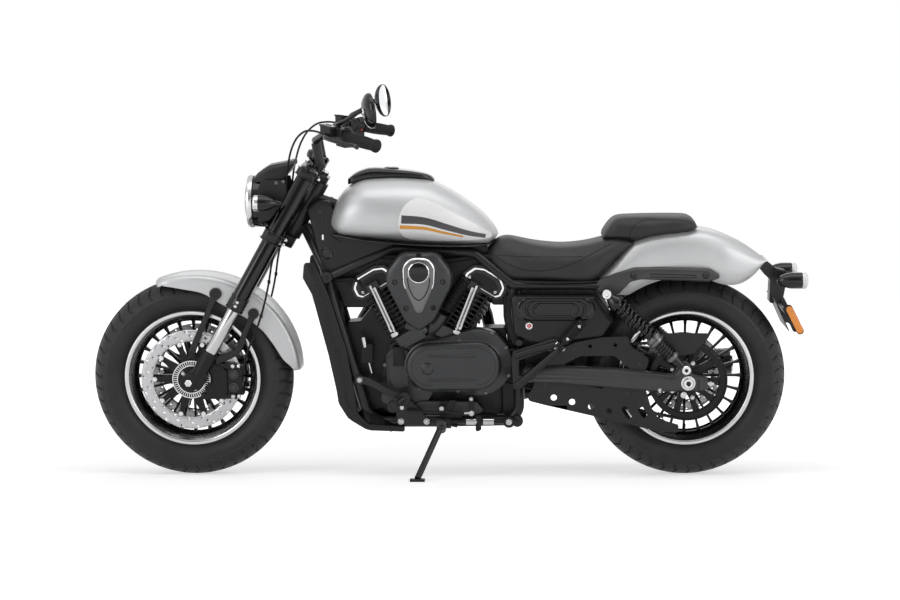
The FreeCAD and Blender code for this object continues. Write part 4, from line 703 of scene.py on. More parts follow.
def make_tank_marks(tree):
    """White patch with a dark and an orange stripe, laid on the tank's sides."""
    outline = smooth_ring([(-123, 831), (-116, 864), (-98, 892), (-68, 908), (-36, 903), (2, 888), (52, 858),
            (112, 824), (188, 780), (120, 771), (40, 770), (-40, 771), (-95, 777), (-117, 797)])
    centre, steps = Vector((-20, 822)), 15
    rings = []
    for k in range(steps):
        ring = [centre + (p - centre) * (1 - k / steps) for p in outline]
        rings.append([on_surface(tree, p.x, p.y, 0.5) for p in ring])
    rings.append([on_surface(tree, centre.x, centre.y, 0.5)])
    if all(p is not None for ring in rings for p in ring):
        Shape().skin(rings, caps=False).both_sides().done("tank_patch", "root", "white_mark")
    dark = [(-112, 842), (-40, 836), (30, 815), (90, 796), (150, 782)]
    orange = [(-117, 818), (-40, 813), (20, 798), (80, 784)]
    for name, look, rows, wide in (("dark_stripe", "dark_mark", dark, 13),
            ("orange_stripe", "orange_mark", orange, 6)):
        line = smooth_line([at(x, z, 0) for x, z in rows], 10)
        rails = []
        for i, p in enumerate(line):
            way = heading(line, i)
            across = at(-way.y, way.x, 0) * wide * (1 - 0.55 * i / len(line))
            rails.append([on_surface(tree, q.x, q.y, 0.9)
                    for q in (p + across * s for s in (-1, -0.33, 0.33, 1))])
        rails = [rail for rail in rails if all(q is not None for q in rail)]
        stripe = Shape().skin(rails, closed_across=False, caps=False)
        stripe.both_sides().done("tank_" + name, "root", look)


def make_tank():
    """Tank skin with its marks, the flange below, the console on top and the filler cap."""
    top = [(-342, 822), (-336, 856), (-322, 890), (-302, 918), (-276, 941), (-243, 957), (-205, 963),
            (-130, 966), (-60, 961), (-19, 952), (28, 929), (74, 901), (129, 860), (160, 830), (180, 803),
            (189, 784)]
    bottom = [(-342, 821), (-334, 803), (-320, 788), (-300, 777), (-220, 768), (-130, 760), (-40, 752),
            (60, 748), (148, 750), (170, 760), (183, 772), (189, 782)]
    width = [(-342, 52), (-334, 82), (-315, 108), (-280, 130), (-220, 143), (-120, 146), (-20, 136),
            (70, 112), (130, 88), (165, 66), (182, 46), (189, 26)]
    shape = Shape().hull((-342, 189), top, bottom, width, waist=0.34, powers=(2.35, 2.6), stations=64,
            steps=88)
    tank = shape.done("tank_skin", "root", "silver_paint", smooth=60)
    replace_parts(tank, "fuel_tank")
    flange = Shape()
    flange.hull((-330, 180), [(-330, 792), (-200, 774), (0, 760), (150, 757), (180, 770)],
            [(-330, 780), (-200, 765), (0, 751), (150, 748), (180, 766)],
            [(-330, 96), (-200, 133), (-100, 136), (0, 128), (100, 96), (180, 50)], waist=0.5, powers=(4, 4))
    flange.done("tank_flange", "root", "gloss_black")
    make_tank_marks(surface_of(tank))
    console = Shape()
    console.hull((-286, -14), [(-286, 960), (-262, 978), (-225, 991), (-190, 993), (-130, 989), (-78, 983),
            (-40, 975), (-22, 966), (-14, 956)], [(-286, 940), (-225, 955), (-130, 962), (-60, 958),
            (-14, 948)], [(-286, 36), (-262, 44), (-150, 46), (-60, 38), (-14, 20)], waist=0.35,
            powers=(3.4, 4), stations=40)
    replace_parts(console.done("console_shell", "root", "gloss_black", smooth=50), "tank_console")
    line = [at(x, 46, z) for x, z in ((-270, 962), (-225, 972), (-150, 974), (-70, 969), (-26, 959))]
    Shape().pipe(line, 1.6, 8).both_sides().done("console_edge", "root", "black_plastic")
    cap = Shape().lathe([(0, 4), (20, 4), (23, 2.5), (24, 0), (26, -6), (0, -6)], at(-150, 0, 990), Z, 48)
    cap.done("fuel_cap", "root", "gloss_black", bevel=0.5)
    Shape().box((8, 20, 3), at(-150, 0, 995)).done("fuel_cap_flap", "root", "chrome", bevel=0.8)


# ---------------------------------------------------------------- seats
CLOTH_FRAMES = 20


def cloth_pad(name, shape, node, voxel, cap):
    """A padded cover: the form is swollen as cloth under a light pressure, and its movement is capped."""
    pad = shape.done(name, "root", "seat_leather", smooth=70)
    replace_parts(pad, node)
    bpy.context.view_layer.update()
    remesh = pad.modifiers.new("Remesh", "REMESH")
    remesh.mode, remesh.voxel_size = "VOXEL", voxel
    bpy.context.view_layer.objects.active = pad
    apply_modifiers(pad)
    rest = [v.co.copy() for v in pad.data.vertices]
    cloth = pad.modifiers.new("Cloth", "CLOTH")
    cloth.settings.use_pressure = True
    cloth.settings.uniform_pressure_force = 4.0
    cloth.settings.effector_weights.gravity = 0.0
    cloth.point_cache.frame_start, cloth.point_cache.frame_end = 1, CLOTH_FRAMES
    for step in range(1, CLOTH_FRAMES + 1):
        bpy.context.scene.frame_set(step)
    swollen = [v.co.copy() for v in
               pad.evaluated_get(bpy.context.evaluated_depsgraph_get()).data.vertices]
    pad.modifiers.remove(cloth)
    bpy.context.scene.frame_set(1)
    for vertex, first, last in zip(pad.data.vertices, rest, swollen):
        move = last - first
        if move.length > cap:
            move *= cap / move.length
        vertex.co = first + move
    pad.data.shade_smooth()
    pad.modifiers.new("Subdivision", "SUBSURF").render_levels = 1
    return pad


def apply_modifiers(piece):
    """Makes what the modifiers show the piece's own mesh."""
    bpy.context.view_layer.update()
    shown = piece.evaluated_get(bpy.context.evaluated_depsgraph_get())
    data = bpy.data.meshes.new_from_object(shown)
    old, piece.data = piece.data, data
    piece.modifiers.clear()
    bpy.data.meshes.remove(old)


def make_seats():
    """Rider's and passenger's pads with their seams, and the base under them."""
    def sag(x, across):
        """The rider's hollow, deepest in the middle."""
        return -7 * (1 - across * across) * math.sin(math.pi * (x - 150) / 467) ** 2

    shape = Shape()
    shape.hull((150, 617), [(150, 724), (160, 742), (176, 760), (197, 772), (220, 775), (250, 769),
            (290, 761), (340, 755), (398, 752), (463, 757), (520, 768), (560, 777), (585, 779), (606, 776),
            (617, 768)], [(150, 719), (165, 692), (188, 666), (212, 648), (240, 641), (350, 641), (480, 641),
            (520, 668), (560, 708), (600, 744), (617, 762)],
            [(150, 58), (180, 84), (240, 112), (330, 130), (420, 136), (500, 130), (560, 112), (617, 88)],
            waist=0.3, powers=(2.7, 4.5), stations=56, steps=72, lift=sag)
    rider = cloth_pad("rider_cushion", shape, "rider_seat", 0.005, 0.005)
    tree = surface_of(rider)
    low_seam = [(160, 735), (198, 708), (247, 686), (298, 677), (348, 680), (398, 692), (448, 711),
            (498, 736), (548, 760)]
    seam("rider_side_seam", tree, low_seam, 1.5, 0.5)
    stitches("rider_side_stitches", tree, [(a, b + 6) for a, b in low_seam])
    seam("rider_upper_seam", tree, [(186, 722), (300, 720), (380, 720), (458, 721)], 1.2, 0.4)
    base = Shape()
    base.hull((190, 500), [(190, 664), (240, 648), (480, 648), (500, 656)],
            [(190, 660), (240, 636), (480, 636), (500, 650)], [(190, 88), (260, 114), (380, 126), (500, 120)],
            waist=0.5, powers=(4, 4), steps=40)
    base.done("rider_seat_base", "root", "black_plastic")
    shape = Shape()
    shape.hull((517, 823), [(517, 775), (526, 792), (540, 815), (557, 831), (580, 837), (620, 839),
            (700, 840), (780, 839), (800, 834), (815, 822), (823, 811)],
            [(517, 770), (560, 770), (620, 769), (660, 779), (700, 787), (760, 794), (800, 799), (823, 805)],
            [(517, 66), (550, 86), (620, 98), (700, 102), (770, 100), (805, 90), (823, 74)], waist=0.22,
            powers=(3.4, 3.4), stations=44, steps=64)
    pillion = cloth_pad("pillion_cushion", shape, "pillion_seat", 0.005, 0.004)
    tree = surface_of(pillion)
    rows = [(603, 776), (606, 792), (616, 812), (632, 826), (650, 833)]
    seam("pillion_seam", tree, rows, sink=0.5)
    stitches("pillion_stitches", tree, [(a + 6, b - 2) for a, b in rows], pitch=5)
    rows = [(650, 833), (700, 834), (760, 833), (800, 824)]
    seam("pillion_top_seam", tree, rows, 1.2, 0.4)


# ---------------------------------------------------------------- fenders and struts
def make_rear_fender():
    """Folded sheet over the rear tyre, with a short tail."""
    crest = follow([(506, 648), (520, 664), (560, 706), (600, 750), (640, 776), (700, 792), (760, 800),
            (831, 800), (890, 786), (961, 754), (1010, 722), (1042, 697)])
    tail = follow([(850, 650), (880, 637), (918, 629), (950, 632), (975, 643), (1000, 661), (1020, 683),
            (1034, 700)])
    rings = []
    for i in range(64):
        x = 506 + (1040 - 506) * i / 63
        low = REAR.z + math.sqrt(max(334 ** 2 - (x - REAR.x) ** 2, 0.0))
        if x < 620:
            low = max(low, 598)
        if x > 850:
            low = tail(x)
        high = max(crest(x), low + 4)
        half = 103 - 34 * max(0, (x - 900) / 140) ** 1.6
        ring = []
        for k in range(29):
            turn = math.pi * k / 28
            across, up = power_arc(turn, 4.2)
            ring.append(at(x, -across * half, low + (high - low) * up))
        rings.append(ring)
    shape = Shape().skin(rings, closed_across=False, caps=False)
    shape.skin([rings[-1], [at(1036, 0, 690)]], closed_across=False, caps=False)
    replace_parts(shape.done("rear_fender_shell", "root", "silver_paint", solid=3, smooth=50), "rear_fender")


def make_struts():
    """Cast strut on each side of the rear fender, with a groove and two bolts."""
    outline = rounded([(500, 604, 12), (496, 642, 12), (560, 668, 60), (618, 686, 40), (700, 688, 60),
            (858, 682, 16), (898, 655, 8), (852, 640, 12), (640, 648, 40), (606, 640, 30), (574, 604, 12),
            (540, 588, 12)])
    groove = ((668, 666), (740, 664), (806, 662), (812, 658), (806, 654), (740, 655), (668, 657))
    for side, tag in ((-1, "left"), (1, "right")):
        rings = []
        for inset, level in ((0, 103), (0, 108), (0.02, 113), (0.05, 116.5), (0.09, 118.2)):
            rings.append([at(p.x + (700 - p.x) * inset * 0.6, side * level, p.y + (665 - p.y) * inset * 3)
                          for p in outline])
        strut = Shape().skin(rings).done("strut_" + tag, "root", "satin_charcoal", bevel=1.2, smooth=40)
        if side < 0:
            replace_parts(strut, "fender_struts")
        trim = Shape().pipe([at(x, side * 118.5, z) for x, z in groove], 1.3, 8, 4)
        trim.done("strut_groove_" + tag, "root", "gloss_black")
        for x in (616, 844):
            bolt = Shape().bolt(at(x, side * 118, 661), Y * side, 9, 6)
            bolt.done("strut_bolt_%s_%d" % (tag, x), "root", "gloss_black")


make_tank()
make_seats()
make_rear_fender()
make_struts()


# ---------------------------------------------------------------- front fender, fork and brakes
def make_front_fender():
    """Sheet round the tyre's upper part: a crowned top, rounded shoulders and deep skirts."""
    outer = follow([(5, 351), (25, 352), (45, 350), (65, 344), (90, 338), (109, 334)])
    low = follow([(5, 331), (9, 316), (14, 299), (25, 286), (35, 279), (50, 266), (62, 262), (72, 268),
            (81, 281), (93, 291), (102, 306), (109, 322)])
    rings = []
    for i in range(72):
        angle = 5 + 104 * i / 71
        top, edge = outer(angle), low(angle)
        end = min(1.0, (angle - 5) / 6, (109 - angle) / 7)
        ring = []
        turned = math.radians(angle)
        for k in range(11):
            ring.append(around(FRONT, edge + (top - 20 - edge) * k / 11, turned, -76))
        for k in range(7):
            turn = math.pi / 2 * k / 7
            ring.append(around(FRONT, top - 20 + 17 * math.sin(turn), turned,
                    -76 + 17 * (1 - math.cos(turn))))
        for k in range(13):
            y = -59 + 118 * k / 12
            ring.append(around(FRONT, top - 3 + 3 * (1 - (y / 59) ** 2), turned, y))
        ring += [at(p.x, -p.y, p.z) for p in reversed(ring[:18])]
        if end < 1:
            ring = [at(p.x, p.y * (0.86 + 0.14 * math.sin(end * math.pi / 2)), p.z) for p in ring]
        rings.append(ring)
    shape = Shape().skin(rings, closed_across=False, caps=False)
    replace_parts(shape.done("front_fender_shell", "steering", "silver_paint", solid=2.5, smooth=60),
            "front_fender")
    inner = Shape().skin([[p + (FRONT - p).normalized() * 3 + Y * (2.6 if p.y < 0 else -2.6)
            for p in ring[2:-2]] for ring in rings[2:-2]], closed_across=False, caps=False)
    inner.done("front_fender_lining", "steering", "black_plastic", smooth=60)


def make_fork():
    """Rings and bolts on the tubes, cast fork bottoms and the fender's stays."""
    trim, bolts, castings, stays, caps, axle = shapes(6)
    for side in (-1, 1):
        leg = side * 110
        for up in (276, 318):
            trim.lathe([(27, -3), (30, -2.4), (30.6, 0), (30, 2.4), (27, 3)], fork(up, -15, leg), STEER_UP,
                    40, closed=True)
        for up in (520, 554, 752, 774):
            trim.lathe([(27, -1.5), (37.5, -1.5), (38.5, 0), (37.5, 1.5), (27, 1.5)], fork(up, -15, leg),
                    STEER_UP, 40, closed=True)
        trim.lathe([(27, 0), (29, 0), (29.5, 5), (24, 10), (17, 12), (16, 16), (9, 16), (9, 11), (0, 11)],
                   fork(774, -15, leg), STEER_UP, 32)
        for up in (529, 545, 763):
            bolts.bolt(fork(up, -52, side * 96), -STEER_FORE, 5, 6)
        for up in (290, 304):
            bolts.bolt(fork(up, -15, side * 139.5), Y * side, 4, 3.5)
        castings.lathe([(0, 8), (19, 8), (23, 26), (24.6, 60), (24.6, 104), (26.4, 106), (26.4, 114),
                (21.2, 116), (21.2, 110), (0, 108)], fork(0, -15, leg), STEER_UP, 44)
        castings.slab([(-24, -24, 22), (-24, 24, 22), (30, 40, 20), (66, 14, 8), (66, -10, 8), (24, -26, 14)],
                      FRONT + Y * (leg - 21), -STEER_FORE * 0.34 + STEER_UP * 0.94,
                      -STEER_FORE * 0.94 - STEER_UP * 0.34, 42)
        castings.lathe([(10.5, -24), (23, -24), (26, -21), (26, 21), (23, 24), (10.5, 24)], FRONT + Y * leg,
                Y, 44, closed=True)
        for top, elbow, low, eye in (((84, 278), (12, 104), (8, 72), 19),
                ((203, 214), (150, 96), (84, 66), 17)):
            halfway = ((top[0] + elbow[0]) / 2, (top[1] + elbow[1]) / 2)
            path = smooth_line([FRONT + at(p[0], side * y, p[1]) for p, y in
                                ((top, 82), (halfway, 86), (elbow, 92), (low, 100))], 8)
            stays.strap(path, lambda i: 7.5 + 4.5 * (i / (len(path) - 1)) + 5 * max(0, 1 - i / 5), 4.5)
            spot = FRONT + at(top[0], side * 82, top[1])
            stays.drum(spot, Y, eye, 5, 1, 1, 40)
            caps.lathe([(0, 4), (6, 4), (8, 6.5), (10.5, 6.5), (11.5, 4)], spot, Y * side, 24)
        axle.lathe([(0, 3), (4, 3), (4, 4.5), (10, 4.5), (12, 3), (12, -6), (0, -6)],
                FRONT + Y * (side * 134), Y * side, 6)
    trim.done("fork_rings", "steering", "gloss_black", bevel=0.3)
    bolts.done("fork_pinch_bolts", "steering", "zinc")
    nut = Shape().lathe([(0, 16), (12, 16), (14, 13), (14, 0), (24, 0), (24, -4), (0, -4)], fork(774, -55),
            STEER_UP, 6)
    nut.done("steering_stem_nut", "steering", "zinc", bevel=1)
    castings.done("fork_castings", "steering", "engine_black", bevel=1.2, smooth=40)
    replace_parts(stays.done("fender_stays", "steering", "frame_black", bevel=0.8, smooth=40), "fork_bottoms")
    caps.done("fender_stay_bolts", "steering", "gloss_black")
    axle.done("front_axle_ends", "steering", "zinc", bevel=0.6)


def make_front_brakes():
    """Four-piston caliper on each leg, with its pistons' caps, pad pins and carrier arms."""
    body, caps, pins = shapes(3)
    for side in (-1, 1):
        for level, depth in ((side * 84, 16), (side * 51, 12)):
            body.slab([(118, -48, 8), (160, -44, 14), (166, 0, 60), (160, 44, 14), (118, 48, 8), (112, 20, 8),
                    (112, -20, 8)], FRONT + Y * (level + depth / 2), X, Z, depth)
        for z in (-40, 0, 40):
            body.box((22, 40, 14), FRONT + at(158, side * 68, z))
        for z in (48, -50):
            body.slab([(34, -9, 4), (150, -7, 7), (150, 7, 7), (34, 11, 4)], FRONT + at(0, side * 92 + 6, z),
                    X, Z, 12)
            pins.lathe([(0, 0), (6.5, 0), (7.5, 3), (7.5, 9), (0, 9)], FRONT + at(150, side * 92, z), X, 16)
            pins.bolt(FRONT + at(136, side * 98, z), Y * side, 5, 4)
        for z in (-21, 21):
            caps.lathe([(0, 8), (9, 8), (11, 5.5), (15.5, 5.5), (17, 3), (17, -4), (0, -4)],
                    FRONT + at(138, side * 90, z), Y * side, 32)
        body.slab([(52, 60, 8), (100, 48, 10), (118, 30, 8), (118, -40, 8), (60, -56, 10), (44, -20, 10),
                (76, 0, 14)], FRONT + Y * (side * 96 + 5), X, Z, 10)
    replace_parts(body.done("front_caliper_bodies", "steering", "engine_black", bevel=1.6, smooth=40),
            "front_calipers")
    caps.done("front_caliper_caps", "steering", "engine_grey")
    pins.done("front_caliper_pins", "steering", "zinc", bevel=0.4)
    rings = Shape()
    for p in ((-603, -95, 424), (-560, -101, 530), (-534, -96, 638)):
        for side in (1, -1):
            rings.box((9, 9, 12), at(p[0], p[1] * side, p[2]))
    rings.done("brake_hose_clips", "steering", "rubber", bevel=1.5)


# ---------------------------------------------------------------- headlight and indicators
def make_headlight():
    """Lamp nacelle with its bright ring, reflector and glass, brackets and front indicators."""
    lamp = fork(587, 107)
    ring = Shape().lathe([(76, 6), (77, -2), (80, -6), (84, -5), (86, 0), (86.2, 6), (85, 11), (82, 13),
            (76, 13)], lamp, X, 96, closed=True)
    ring.done("headlight_ring", "steering", "bright_lip", smooth=30)
    shell = Shape().lathe([(78, 11), (82, 14), (83, 40), (82.5, 44), (81, 46), (81, 50), (78, 72), (68, 90),
            (50, 102), (24, 108), (0, 109)], lamp, X, 96)
    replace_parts(shell.done("headlight_bucket", "steering", "gloss_black", smooth=30), "headlight_shell")
    glass = Shape().lathe([(77.5, 5), (77, -2), (68, -8), (48, -13), (24, -15.5), (0, -16), (0, -13),
            (24, -12.5), (48, -10), (68, -5), (75, 2)], lamp, X, 96)
    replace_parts(glass.done("headlight_glass", "steering", "lens_clear", smooth=60), "headlight_lens")
    bowl = Shape().lathe([(76, 4), (74, 10), (64, 20), (44, 30), (20, 35), (0, 36)], lamp, X, 96)
    bowl.done("headlight_reflector", "steering", "chrome", smooth=60)
    bulbs, eyes = shapes(2)
    for z in (30, -30):
        bulbs.lathe([(0, 2), (30, 2), (34, 5), (34, 32), (30, 32), (30, 9), (0, 9)], lamp + Z * z, X, 48)
        eyes.lathe([(0, -3), (10, -1.5), (20, 1), (26, 4), (0, 4)], lamp + Z * z, X, 48)
    bulbs.box((8, 120, 5), lamp + X * 8)
    bulbs.done("headlight_projectors", "steering", "gloss_black", bevel=0.6)
    eyes.done("headlight_eyes", "steering", "lens_clear", smooth=60)
    rows = [(-584, 950, 958, 960, 44, 36), (-574, 950, 966, 974, 56, 44), (-552, 952, 979, 990, 62, 47),
            (-531, 953, 991, 1003, 65, 48), (-512, 956, 996, 1007, 66, 48), (-490, 962, 1001, 1011, 66, 47),
            (-472, 980, 1005, 1015, 65, 46), (-455, 1004, 1011, 1019, 63, 45)]
    rings = []
    for x, low, mid, top, b, t in rows:
        section = ((-b, low), (-b, mid), (-t, top), (0, top + 3), (t, top), (b, mid), (b, low),
                (b - 10, low - 1), (0, low + 2), (-b + 10, low - 1))
        rings.append([at(x, y, z) for y, z in section])
    cowl = Shape().skin(rings)
    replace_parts(cowl.done("cowl_shell", "steering", "black_plastic", bevel=1.5, smooth=18), "headlight_cowl")
    plates, bolts = shapes(2)
    for side in (-1, 1):
        plates.slab([(33, -62, 8), (70, -52, 12), (112, 6, 20), (126, 44, 18), (118, 74, 6), (44, 74, 6),
                (33, 44, 6)], lamp + Y * (side * 84 + 2), X, Z, 4)
        for x, z in ((92, 66), (114, 70)):
            bolts.bolt(lamp + at(x, side * 86, z), Y * side, 4.5, 4)
    plates.done("headlight_brackets", "steering", "black_plastic", bevel=0.8)
    bolts.done("headlight_bolts", "steering", "dark_metal")
    bodies, lenses, tips = shapes(3)
    for side in (-1, 1):
        spot = lamp + at(26, side * 142, 7)
        lenses.lathe([(0, -3), (12, -2.2), (21, -0.5), (24.5, 2), (25.5, 6), (25.5, 15), (0, 15)],
                spot, X, 48)
        bodies.lathe([(0, 15), (25.5, 15), (26, 17), (26, 26), (24, 40), (19, 54), (12, 66), (8, 74),
                (0, 76)], spot, X, 48)
        bodies.rod(spot + X * 44, at(spot.x + 52, side * 84, spot.z), 9, 8)
        tips.lathe([(8.5, 66), (9.5, 70), (7, 84), (3, 90), (0, 91)], spot, X, 24)
    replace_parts(bodies.done("front_indicator_bodies", "steering", "gloss_black", smooth=40),
            "front_indicators")
    lenses.done("front_indicator_lenses", "steering", "bright_lip", smooth=40)
    tips.done("front_indicator_tips", "steering", "gloss_black", smooth=50)


# ---------------------------------------------------------------- handlebar and controls
BAR_END, BAR_IN = at(-180, 364, 1088), at(-318, 235, 1118)
BAR_RUN = (BAR_END - BAR_IN).normalized()
BAR_AHEAD = at(-BAR_RUN.y, BAR_RUN.x, 0).normalized()


def on_bar(side, distance, ahead=0.0, rise=0.0):
    """A point beside the bar: distance in from its end, ahead of it and above it."""
    spot = BAR_END - BAR_RUN * distance + BAR_AHEAD * ahead + Z * rise
    return at(spot.x, side * spot.y, spot.z)


def make_handlebar():
    """Grips, levers, switch boxes and the brake's reservoir on the bar."""
    grips, housings, levers, bits, dials = shapes(5)
    for side in (-1, 1):
        foot, end = on_bar(side, 118), on_bar(side, -14)
        way = end - foot
        length = way.length
        profile = [(13, 0), (24, 0), (25, 3), (20, 7)]
        for k in range(18):
            along = 10 + k * (length - 30) / 17
            swell = 17.5 + 1.8 * math.sin(math.pi * k / 17)
            profile += [(swell, along), (swell - 0.9, along + 2.0), (swell - 0.9, along + 3.2),
                    (swell, along + 5.0)]
        profile += [(18, length - 12), (20, length - 10), (20.5, length - 3), (17, length), (0, length + 1)]
        grips.lathe(profile, foot, way, 40)
        near, far = on_bar(side, 119), on_bar(side, 150)
        run = (far - near).normalized()
        housings.lathe([(13, 0), (21, 0), (22.5, 2), (22.5, 30), (20, 33), (13, 33)], near, far - near, 32)
        middle = on_bar(side, 134, 2, -14)
        turn = Matrix((run, Z.cross(run).normalized(), Z)).transposed()
        housings.box((38, 30, 34), middle, turn)
        housings.box((30, 22, 22), on_bar(side, 134, 14, 14), turn)
        housings.lathe([(12.6, -4), (19, -4), (20, -2), (20, 22), (18, 24), (12.6, 24)], on_bar(side, 153),
                far - near, 32)
        reservoir = on_bar(side, 170, 30, 10)
        housings.box((46, 32, 26), reservoir, turn)
        housings.box((50, 36, 6), reservoir + Z * 15, turn)
        for end in (17, -17):
            dials.bolt(reservoir + Z * 18 + run * end, Z, 3.2, 2.4)
        housings.rod(on_bar(side, 160, 8), on_bar(side, 162, 48), 8)
        levers.pipe([on_bar(side, 166, 44, -2), on_bar(side, 150, 60, -4), on_bar(side, 110, 66, -5),
                on_bar(side, 60, 62, -5), on_bar(side, 24, 58, -4), on_bar(side, 10, 60, -4)],
                [9, 8, 6.5, 6, 6, 8], 14, 6)
        levers.drum(on_bar(side, 164, 46, -3), Z, 10, 5, 1, 2, 24)
        outward = Y * side * 0.45 + Z * 0.2 + X * 0.87
        bits.lathe([(0, 6), (5, 6), (6.5, 4.5), (6.5, 0), (0, 0)], on_bar(side, 134, -14, -12), outward, 20)
        housings.lathe([(0, 9), (11, 9), (14, 6), (15, 0), (15, -12), (0, -12)], on_bar(side, 126, -10, 16),
                outward, 32)
        dials.lathe([(0, 10.5), (3.6, 10.5), (4.4, 9), (0, 8)], on_bar(side, 126, -10, 16), outward, 20)
        dials.box((7, 7, 9), on_bar(side, 126, -14, -2), turn)
    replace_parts(grips.done("grip_sleeves", "steering", "rubber", smooth=40), "grips")
    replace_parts(housings.done("switch_housings", "steering", "black_plastic", bevel=2.0, smooth=40),
            "hand_controls")
    levers.done("brake_and_clutch_levers", "steering", "gloss_black", smooth=50)
    bits.done("red_buttons", "steering", "red_switch", bevel=0.5)
    dials.done("switch_details", "steering", "zinc", bevel=0.4)


def make_mirrors():
    """Mirror heads with their glass, on stalks from the lever clamps."""
    backs, stems, glasses, joints = shapes(4)
    for side in (-1, 1):
        centre = at(-205, side * 330, 1188)
        facing = at(0.93, -side * 0.30, 0.12).normalized()
        backs.lathe([(53, 15.6), (54, 14), (54, 10), (50, 3), (38, -5), (20, -9.5), (0, -11)],
                centre, facing, 64)
        backs.lathe([(50, 15), (54, 15.6), (53.4, 17), (50.6, 17)], centre, facing, 64, closed=True)
        glasses.lathe([(0, 16.6), (50.4, 16.4), (50.8, 16), (0, 15.9)], centre, facing, 64)
        back = centre - facing * 14
        joints.lathe([(0, -9), (8, -6), (10, 0), (14, 4), (0, 8)], centre - facing * 9, facing, 28)
        low = on_bar(side, 161, 0, 14)
        knee = back + at(-10, 0, 6)
        line = [low, low + Z * 16, low + (knee - low) * 0.5 - X * 4, knee - Z * 6, back + facing * 4]
        stems.pipe(line, [8, 7.5, 7, 7.5, 6.5], 16, 8)
        stems.lathe([(0, -4), (12, -4), (13, 0), (13, 10), (9, 16), (0, 16)], low - Z * 2, Z, 6)
    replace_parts(backs.done("mirror_backs", "steering", "gloss_black", smooth=50), "mirrors")
    stems.done("mirror_stems", "steering", "black_plastic", bevel=0.5, smooth=50)
    joints.done("mirror_joints", "steering", "zinc", smooth=50)
    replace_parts(glasses.done("mirror_plates", "steering", "mirror_silver", smooth=60), "mirror_glass")


def make_gauge():
    """Instrument housing with the marks of its dial, on the handlebar."""
    foot = fork(774.3, -14)
    case = Shape().lathe([(0, 0), (12, 0), (14, 6), (12, 18), (22, 21), (34, 27), (37, 34), (38, 46),
            (36.5, 50), (33, 51), (32, 48.5), (0, 48.5)], foot, STEER_UP, 64)
    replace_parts(case.done("gauge_case", "steering", "gloss_black", smooth=35), "gauge")
    dial = Shape()
    side, across = square_to(STEER_UP)
    for k in range(13):
        turn = math.radians(-120 + 20 * k)
        way = side * math.cos(turn) + across * math.sin(turn)
        normal = STEER_UP.cross(way).normalized()
        dial.skin([[foot + STEER_UP * 48.9 + way * r + normal * w for w in (-0.5, 0.5)] for r in (24, 30)],
                  closed_across=False, caps=False)
    dial.done("gauge_marks", "steering", "white_mark")


make_front_fender()
make_fork()
make_front_brakes()
make_headlight()
make_handlebar()
make_mirrors()
make_gauge()


# ---------------------------------------------------------------- engine
LEAN = math.radians(31)


def from_crank(sign, up, across, y=0.0):
    """Point in a cylinder's own directions; sign -1 is the front one, across is outwards."""
    return CRANK + at(sign * (math.sin(LEAN) * up + math.cos(LEAN) * across), y,
            math.cos(LEAN) * up - math.sin(LEAN) * across)


def cylinder_ways(sign):
    """Outwards and upwards directions of a cylinder."""
    return (from_crank(sign, 0, 1) - CRANK), (from_crank(sign, 1, 0) - CRANK)


def band(shape, rows, place, u, v, depth, shrink=0.85, shift=(0, 0)):
    """Flat frame between an outline and a smaller copy of it."""
    outer = rounded(rows)
    middle = sum(outer, Vector((0, 0))) / len(outer)
    inner = [middle + (p - middle) * shrink + Vector(shift) for p in outer]
    normal = u.cross(v).normalized()

    def ring(points, level):
        return [place + u * p.x + v * p.y + normal * level for p in points]
    return shape.skin([ring(outer, 0), ring(outer, depth), ring(inner, depth), ring(inner, 0)],
            closed_along=True)


